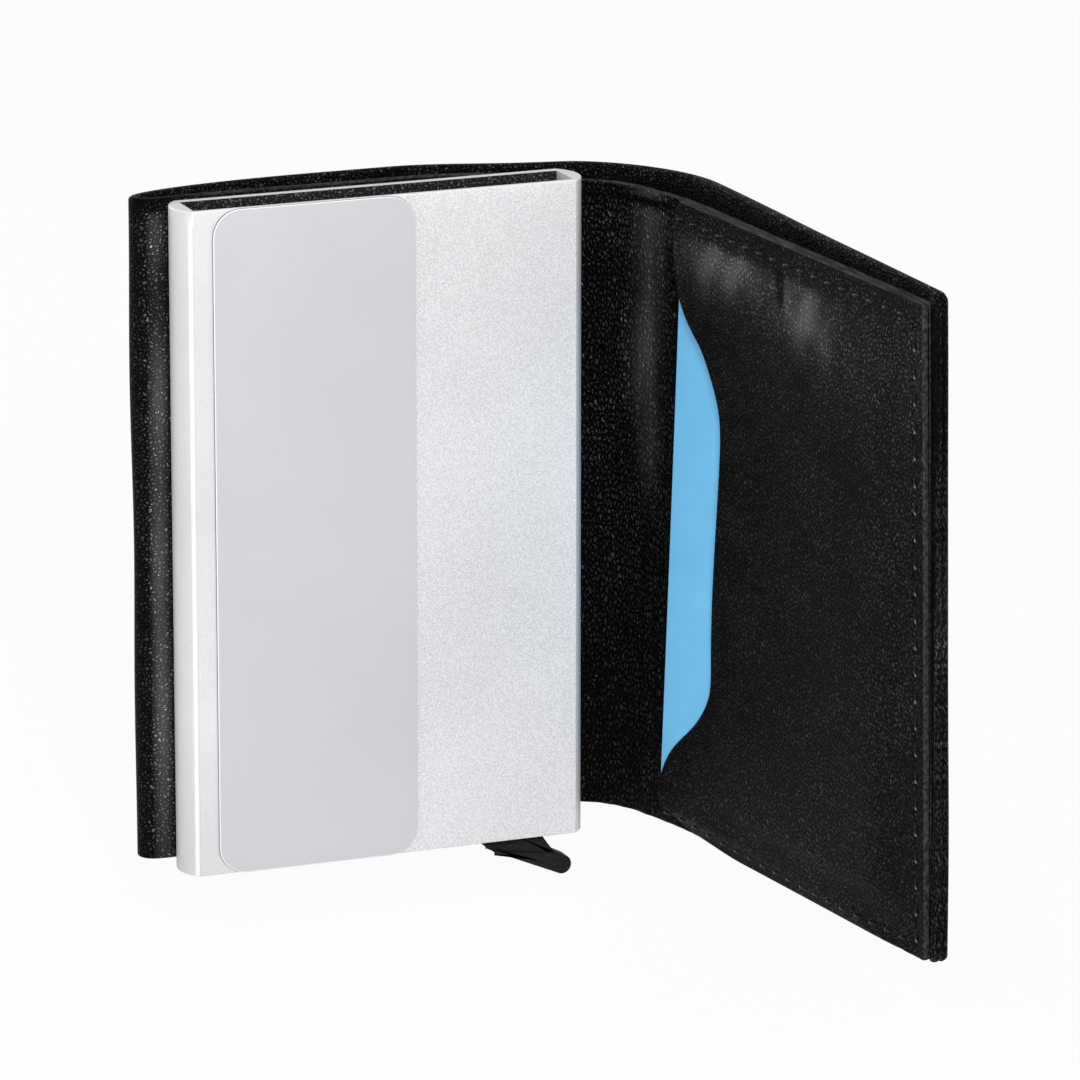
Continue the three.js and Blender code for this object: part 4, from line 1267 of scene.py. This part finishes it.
class WALLET_OT_pocket(bpy.types.Operator):
    """Pocket leather with its thumb cut, swollen over the card"""

    bl_idname = "wallet.pocket"
    bl_label = "Pocket"

    def execute(self, context):
        """Rows run from the thumb cut to the sewn end and columns from the foot to the upper edge, each
        as a share of the way between them. The grid is drawn on the pocket's front and thickened behind
        it."""
        sizes, colours = chosen(context)
        finish = leather(
            "leather_pocket", colours.pocket, colours.paint, gleam=0.062, highlight_gain=5.5, pebble=0.00052,
            depth=0.00014, polish=0.75, rough=0.3, stretch=1.3, ribs=0.4)
        wide, tall, edge, corner_radius, middle_way = 60.0, 91.0, 0.22, 0.7, 30
        across, up = spread(wide, edge, 130), spread(tall, edge, 176)
        share = up / tall
        inside_up = np.minimum(up, tall - up)
        foot = pocket_foot(middle_way)
        height = foot + share * (lining_top(middle_way) - foot)
        left = thumb_edge(height)
        right = LINING_LENGTH + free_end(height) - corner_cut(inside_up, corner_radius)
        along = left[None] + across[:, None] / wide * (right - left)[None]
        height = pocket_foot(along) + share[None] * (lining_top(along) - pocket_foot(along))
        inside_across = np.minimum(across, 1.5 * (wide - across))[:, None]
        half = sizes.pocket_thickness / 2
        plan = on_flap(along, pocket_front(along, height, sizes) + half)
        middle = raised(plan, height)
        normal = np.broadcast_to((*FLAP_OUT, 0.0), middle.shape)
        half = half * rounding(inside_across, edge) * rounding(inside_up[None], edge)
        rim = border_shade(np.minimum(inside_across, inside_up[None]))
        piece = put_sheet("pocket_leather", middle, normal, half, rim, pocket_wear(along, height, sizes))
        dress(piece, finish, "leather_smooth", None, ["pocket_front"])
        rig.blend(piece, "spine", "flap", start=metres(on_flap(-6.0, -4.0)), end=metres(on_flap(1.0, -4.0)))
        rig.sheet(piece, (0.0695, 0.092), "stretched", rests_on=["lining_flap"], area=0.0695 * 0.092 * 0.9)
        return {"FINISHED"}


class WALLET_OT_card(bpy.types.Operator):
    """Payment card in the pocket, leaning a little"""

    bl_idname = "wallet.card"
    bl_label = "Card"

    def execute(self, context):
        """A rounded plate turned in the plane of the flap, its lower left corner lifted off the lining."""
        sizes, colours = chosen(context)
        outline = rounded_rectangle((0, 0), (CARD_WIDTH, CARD_HEIGHT), sizes.card_corner, 0.8)
        points, sides, caps = rounded_plate(outline, -CARD_THICKNESS, 0, 0.12)
        across, behind, up = points.T
        along = CARD_CORNER[0] + across * CARD_COS + up * CARD_SIN
        height = CARD_CORNER[1] - across * CARD_SIN + up * CARD_COS
        plan = on_flap(along, -card_depth(along, height) - behind)
        piece = put_mesh("card_blank", raised(plan, height), sides, caps)
        dress(piece, card_face("card_blue", colours.card), "card_blue", "flap", ["pocket_card"])
        return {"FINISHED"}


class WALLET_OT_stitches(bpy.types.Operator):
    """Stitches round the three sewn sides of the pocket"""

    bl_idname = "wallet.stitches"
    bl_label = "Stitches"

    def execute(self, context):
        """Every stitch is a tube of rings whose radius falls as (1 - a^4)^0.5 and whose middle stands
        proud as 1 - a^2, from a = -1 to 1 along it, all made at once from the places and directions of
        the seam. It slants a little, and has a painted glint near its first end."""
        sizes, colours = chosen(context)
        pitch, foot = sizes.stitch_pitch, pocket_foot(SEWN) + sizes.foot_inset
        corner, before_corner = LINING_LENGTH - sizes.end_inset, 0.8
        end = corner - before_corner
        rings, sides, length, slant, flatness = 7, 8, 0.36, 0.12, 0.7
        upper = np.arange(FIRST_UPPER, end - 0.5, pitch)
        lower = np.arange(FIRST_LOWER, end + 1.5, pitch)
        right = np.arange(foot + FIRST_END, lining_top(end) - sizes.top_inset - 1.2, pitch)
        along = np.r_[upper, corner + free_end(right), lower]
        height = np.r_[lining_top(upper) - sizes.top_inset, right, pocket_foot(lower) + sizes.foot_inset]
        level = np.r_[np.ones(len(upper)), np.zeros(len(right)), np.ones(len(lower))][:, None, None] > 0
        a = np.linspace(-1, 1, rings)[None, :, None]
        turn = np.linspace(0, 2 * np.pi, sides + 1)[:-1][None, None, :]
        radius = sizes.thread_width / 2 * np.sqrt(np.clip(1 - a**4, 0, 1))
        run, cross = a * pitch * length, radius * np.cos(turn) + slant * a
        proud = 0.22 * (1 - a**2) - 0.08 + radius * np.sin(turn) * flatness
        u = along[:, None, None] + np.where(level, run, cross)
        h = height[:, None, None] + np.where(level, cross, run)
        plan = on_flap(u, pocket_front(along, height, sizes)[:, None, None] - proud - 0.05)
        points = raised(plan, h)
        faces = quads(wrapped(numbered(*u.shape)))
        uv = np.stack(np.broadcast_arrays(run + 0.8 * cross, turn * 0.3, u)[:2], -1)
        # Painted glint near the first end of each stitch.
        glint = np.broadcast_to(ridge(a, -0.667, 0.1) * ridge(np.sin(turn), 0.8, 0.5), u.shape)
        piece = put_mesh(
            "pocket_thread", points.reshape(-1, 3), faces, uv=uv.reshape(-1, 2), glint=glint.ravel())
        dress(piece, spun_thread("thread_black", colours.thread), "leather_smooth", "flap")
        return {"FINISHED"}


# Stage

WHITE = (1, 1, 1, 1)
PALE = (0.9, 0.9, 0.9, 1)
FLOOR_REACH = 4.0
SOFT_LIGHT = 0.36
MIRRORED = 0.45
AIM = Vector((0.02, -0.04, 0.0))
LAMPS = (
    ("lamp_front", (-0.26, -1.0, 0.45), 0.2, 7.8),
    ("lamp_left", (-0.62, -0.82, 0.35), 0.14, 1.2),
    ("lamp_back", (-0.45, 0.85, 0.36), 0.25, 1.9),
)
CAMERA_AZIMUTH, CAMERA_ELEVATION = math.radians(21.629), math.radians(15.0)
CAMERA_AWAY, CAMERA_SENSOR, CAMERA_LENS = 1.0672, 36.0, 252.84
CAMERA_TARGET = Vector((23.074, -16.0, -4.086)) * MM


def facing(item, place, direction):
    """A lamp or camera at a place, turned in a direction."""
    item.location = place
    item.rotation_euler = direction.to_track_quat("-Z", "Y").to_euler()


def surrounded(tree, output, shade, light, direct):
    """Links a shade, and light that is seen instead of it: one share of it by camera rays, and another in
    mirrors and through clear things."""
    path = tree.nodes.new("ShaderNodeLightPath")
    seen, gloss, clear = (
        Wire(tree, path.outputs[key]) for key in ("Is Camera Ray", "Is Glossy Ray", "Is Transmission Ray"))
    share = (seen * direct).larger(gloss.larger(clear) * MIRRORED)
    mixed = seen.make("ShaderNodeMixShader", {}, {0: share, 1: shade, 2: light})
    tree.links.new(mixed.socket, tree.nodes[output].inputs["Surface"])


class WALLET_OT_stage(bpy.types.Operator):
    """Pale floor, soft lamps, white surroundings and the camera"""

    bl_idname = "wallet.stage"
    bl_label = "Stage"

    def floor(self):
        """A square at the lowest point, partly white by itself for the rays that see it."""
        material = bpy.data.materials.new("floor_pale")
        material.use_nodes = True
        wire = Wire(material.node_tree)
        shade = wire.make("ShaderNodeBsdfDiffuse", {}, {"Color": PALE})
        light = wire.make("ShaderNodeEmission", {}, {"Color": WHITE, "Strength": 1.0})
        surrounded(wire.tree, "Material Output", shade, light, 0.95)
        mesh = bpy.data.meshes.new("floor")
        corners = np.array([(-1, -1, 0), (1, -1, 0), (1, 1, 0), (-1, 1, 0)]) * FLOOR_REACH
        mesh.from_pydata((corners + (0, 0, FLOOR * MM)).tolist(), [], [(0, 1, 2, 3)])
        mesh.materials.append(material)
        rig.stage(linked("floor", mesh))

    def surroundings(self, scene):
        """Soft light from all round, which looks white."""
        scene.world = bpy.data.worlds.new("surroundings")
        scene.world.use_nodes = True
        wire = Wire(scene.world.node_tree)
        soft = wire.make("ShaderNodeBackground", {}, {"Color": WHITE, "Strength": SOFT_LIGHT})
        white = wire.make("ShaderNodeBackground", {}, {"Color": WHITE, "Strength": 1.0})
        surrounded(wire.tree, "World Output", soft, white, 1.0)

    def execute(self, context):
        """The lamps are square and face one point. The camera stands back from its target by its azimuth
        to the left and its elevation."""
        scene = context.scene
        self.floor()
        self.surroundings(scene)
        for name, place, size, power in LAMPS:
            data = bpy.data.lights.new(name, "AREA")
            data.shape, data.size, data.energy = "SQUARE", size, power
            facing(linked(name, data), place, AIM - Vector(place))
        level = math.cos(CAMERA_ELEVATION)
        back = Vector((
            -math.sin(CAMERA_AZIMUTH) * level,
            -math.cos(CAMERA_AZIMUTH) * level,
            math.sin(CAMERA_ELEVATION),
        ))
        data = bpy.data.cameras.new("camera")
        data.sensor_width = data.sensor_height = CAMERA_SENSOR
        data.lens = CAMERA_LENS
        scene.camera = linked("camera", data)
        facing(scene.camera, CAMERA_TARGET + back * CAMERA_AWAY, -back)
        scene.view_settings.view_transform = "Standard"
        return {"FINISHED"}


OPERATORS = (
    WALLET_OT_stage,
    WALLET_OT_case,
    WALLET_OT_plate,
    WALLET_OT_foam,
    WALLET_OT_lever,
    WALLET_OT_cover,
    WALLET_OT_lining,
    WALLET_OT_pocket,
    WALLET_OT_card,
    WALLET_OT_stitches,
)


class WALLET_PT_panel(bpy.types.Panel):
    """Pieces of the wallet, with their sizes and colours"""

    bl_idname = "WALLET_PT_panel"
    bl_label = "Card wallet"
    bl_space_type = "VIEW_3D"
    bl_region_type = "UI"
    bl_category = "Wallet"

    def draw(self, context):
        for operator in OPERATORS:
            self.layout.operator(operator.bl_idname)
        for group in (context.scene.wallet_sizes, context.scene.wallet_colours):
            column = self.layout.column()
            for key in group.__annotations__:
                column.prop(group, key)


CLASSES = (WalletSizes, WalletColours, *OPERATORS, WALLET_PT_panel)


def register():
    for item in CLASSES:
        bpy.utils.register_class(item)
    bpy.types.Scene.wallet_sizes = bpy.props.PointerProperty(type=WalletSizes)
    bpy.types.Scene.wallet_colours = bpy.props.PointerProperty(type=WalletColours)


def unregister():
    del bpy.types.Scene.wallet_colours
    del bpy.types.Scene.wallet_sizes
    for item in reversed(CLASSES):
        bpy.utils.unregister_class(item)


def main():
    register()
    for operator in OPERATORS:
        group, name = operator.bl_idname.split(".")
        getattr(getattr(bpy.ops, group), name)()
    low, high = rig.bounds()
    boxes = {"cad": [list(cad_low), list(cad_high)], "visual": [list(low), list(high)]}
    with open("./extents.json", "w") as file:
        json.dump(boxes, file)


if __name__ == "__main__":
    main()
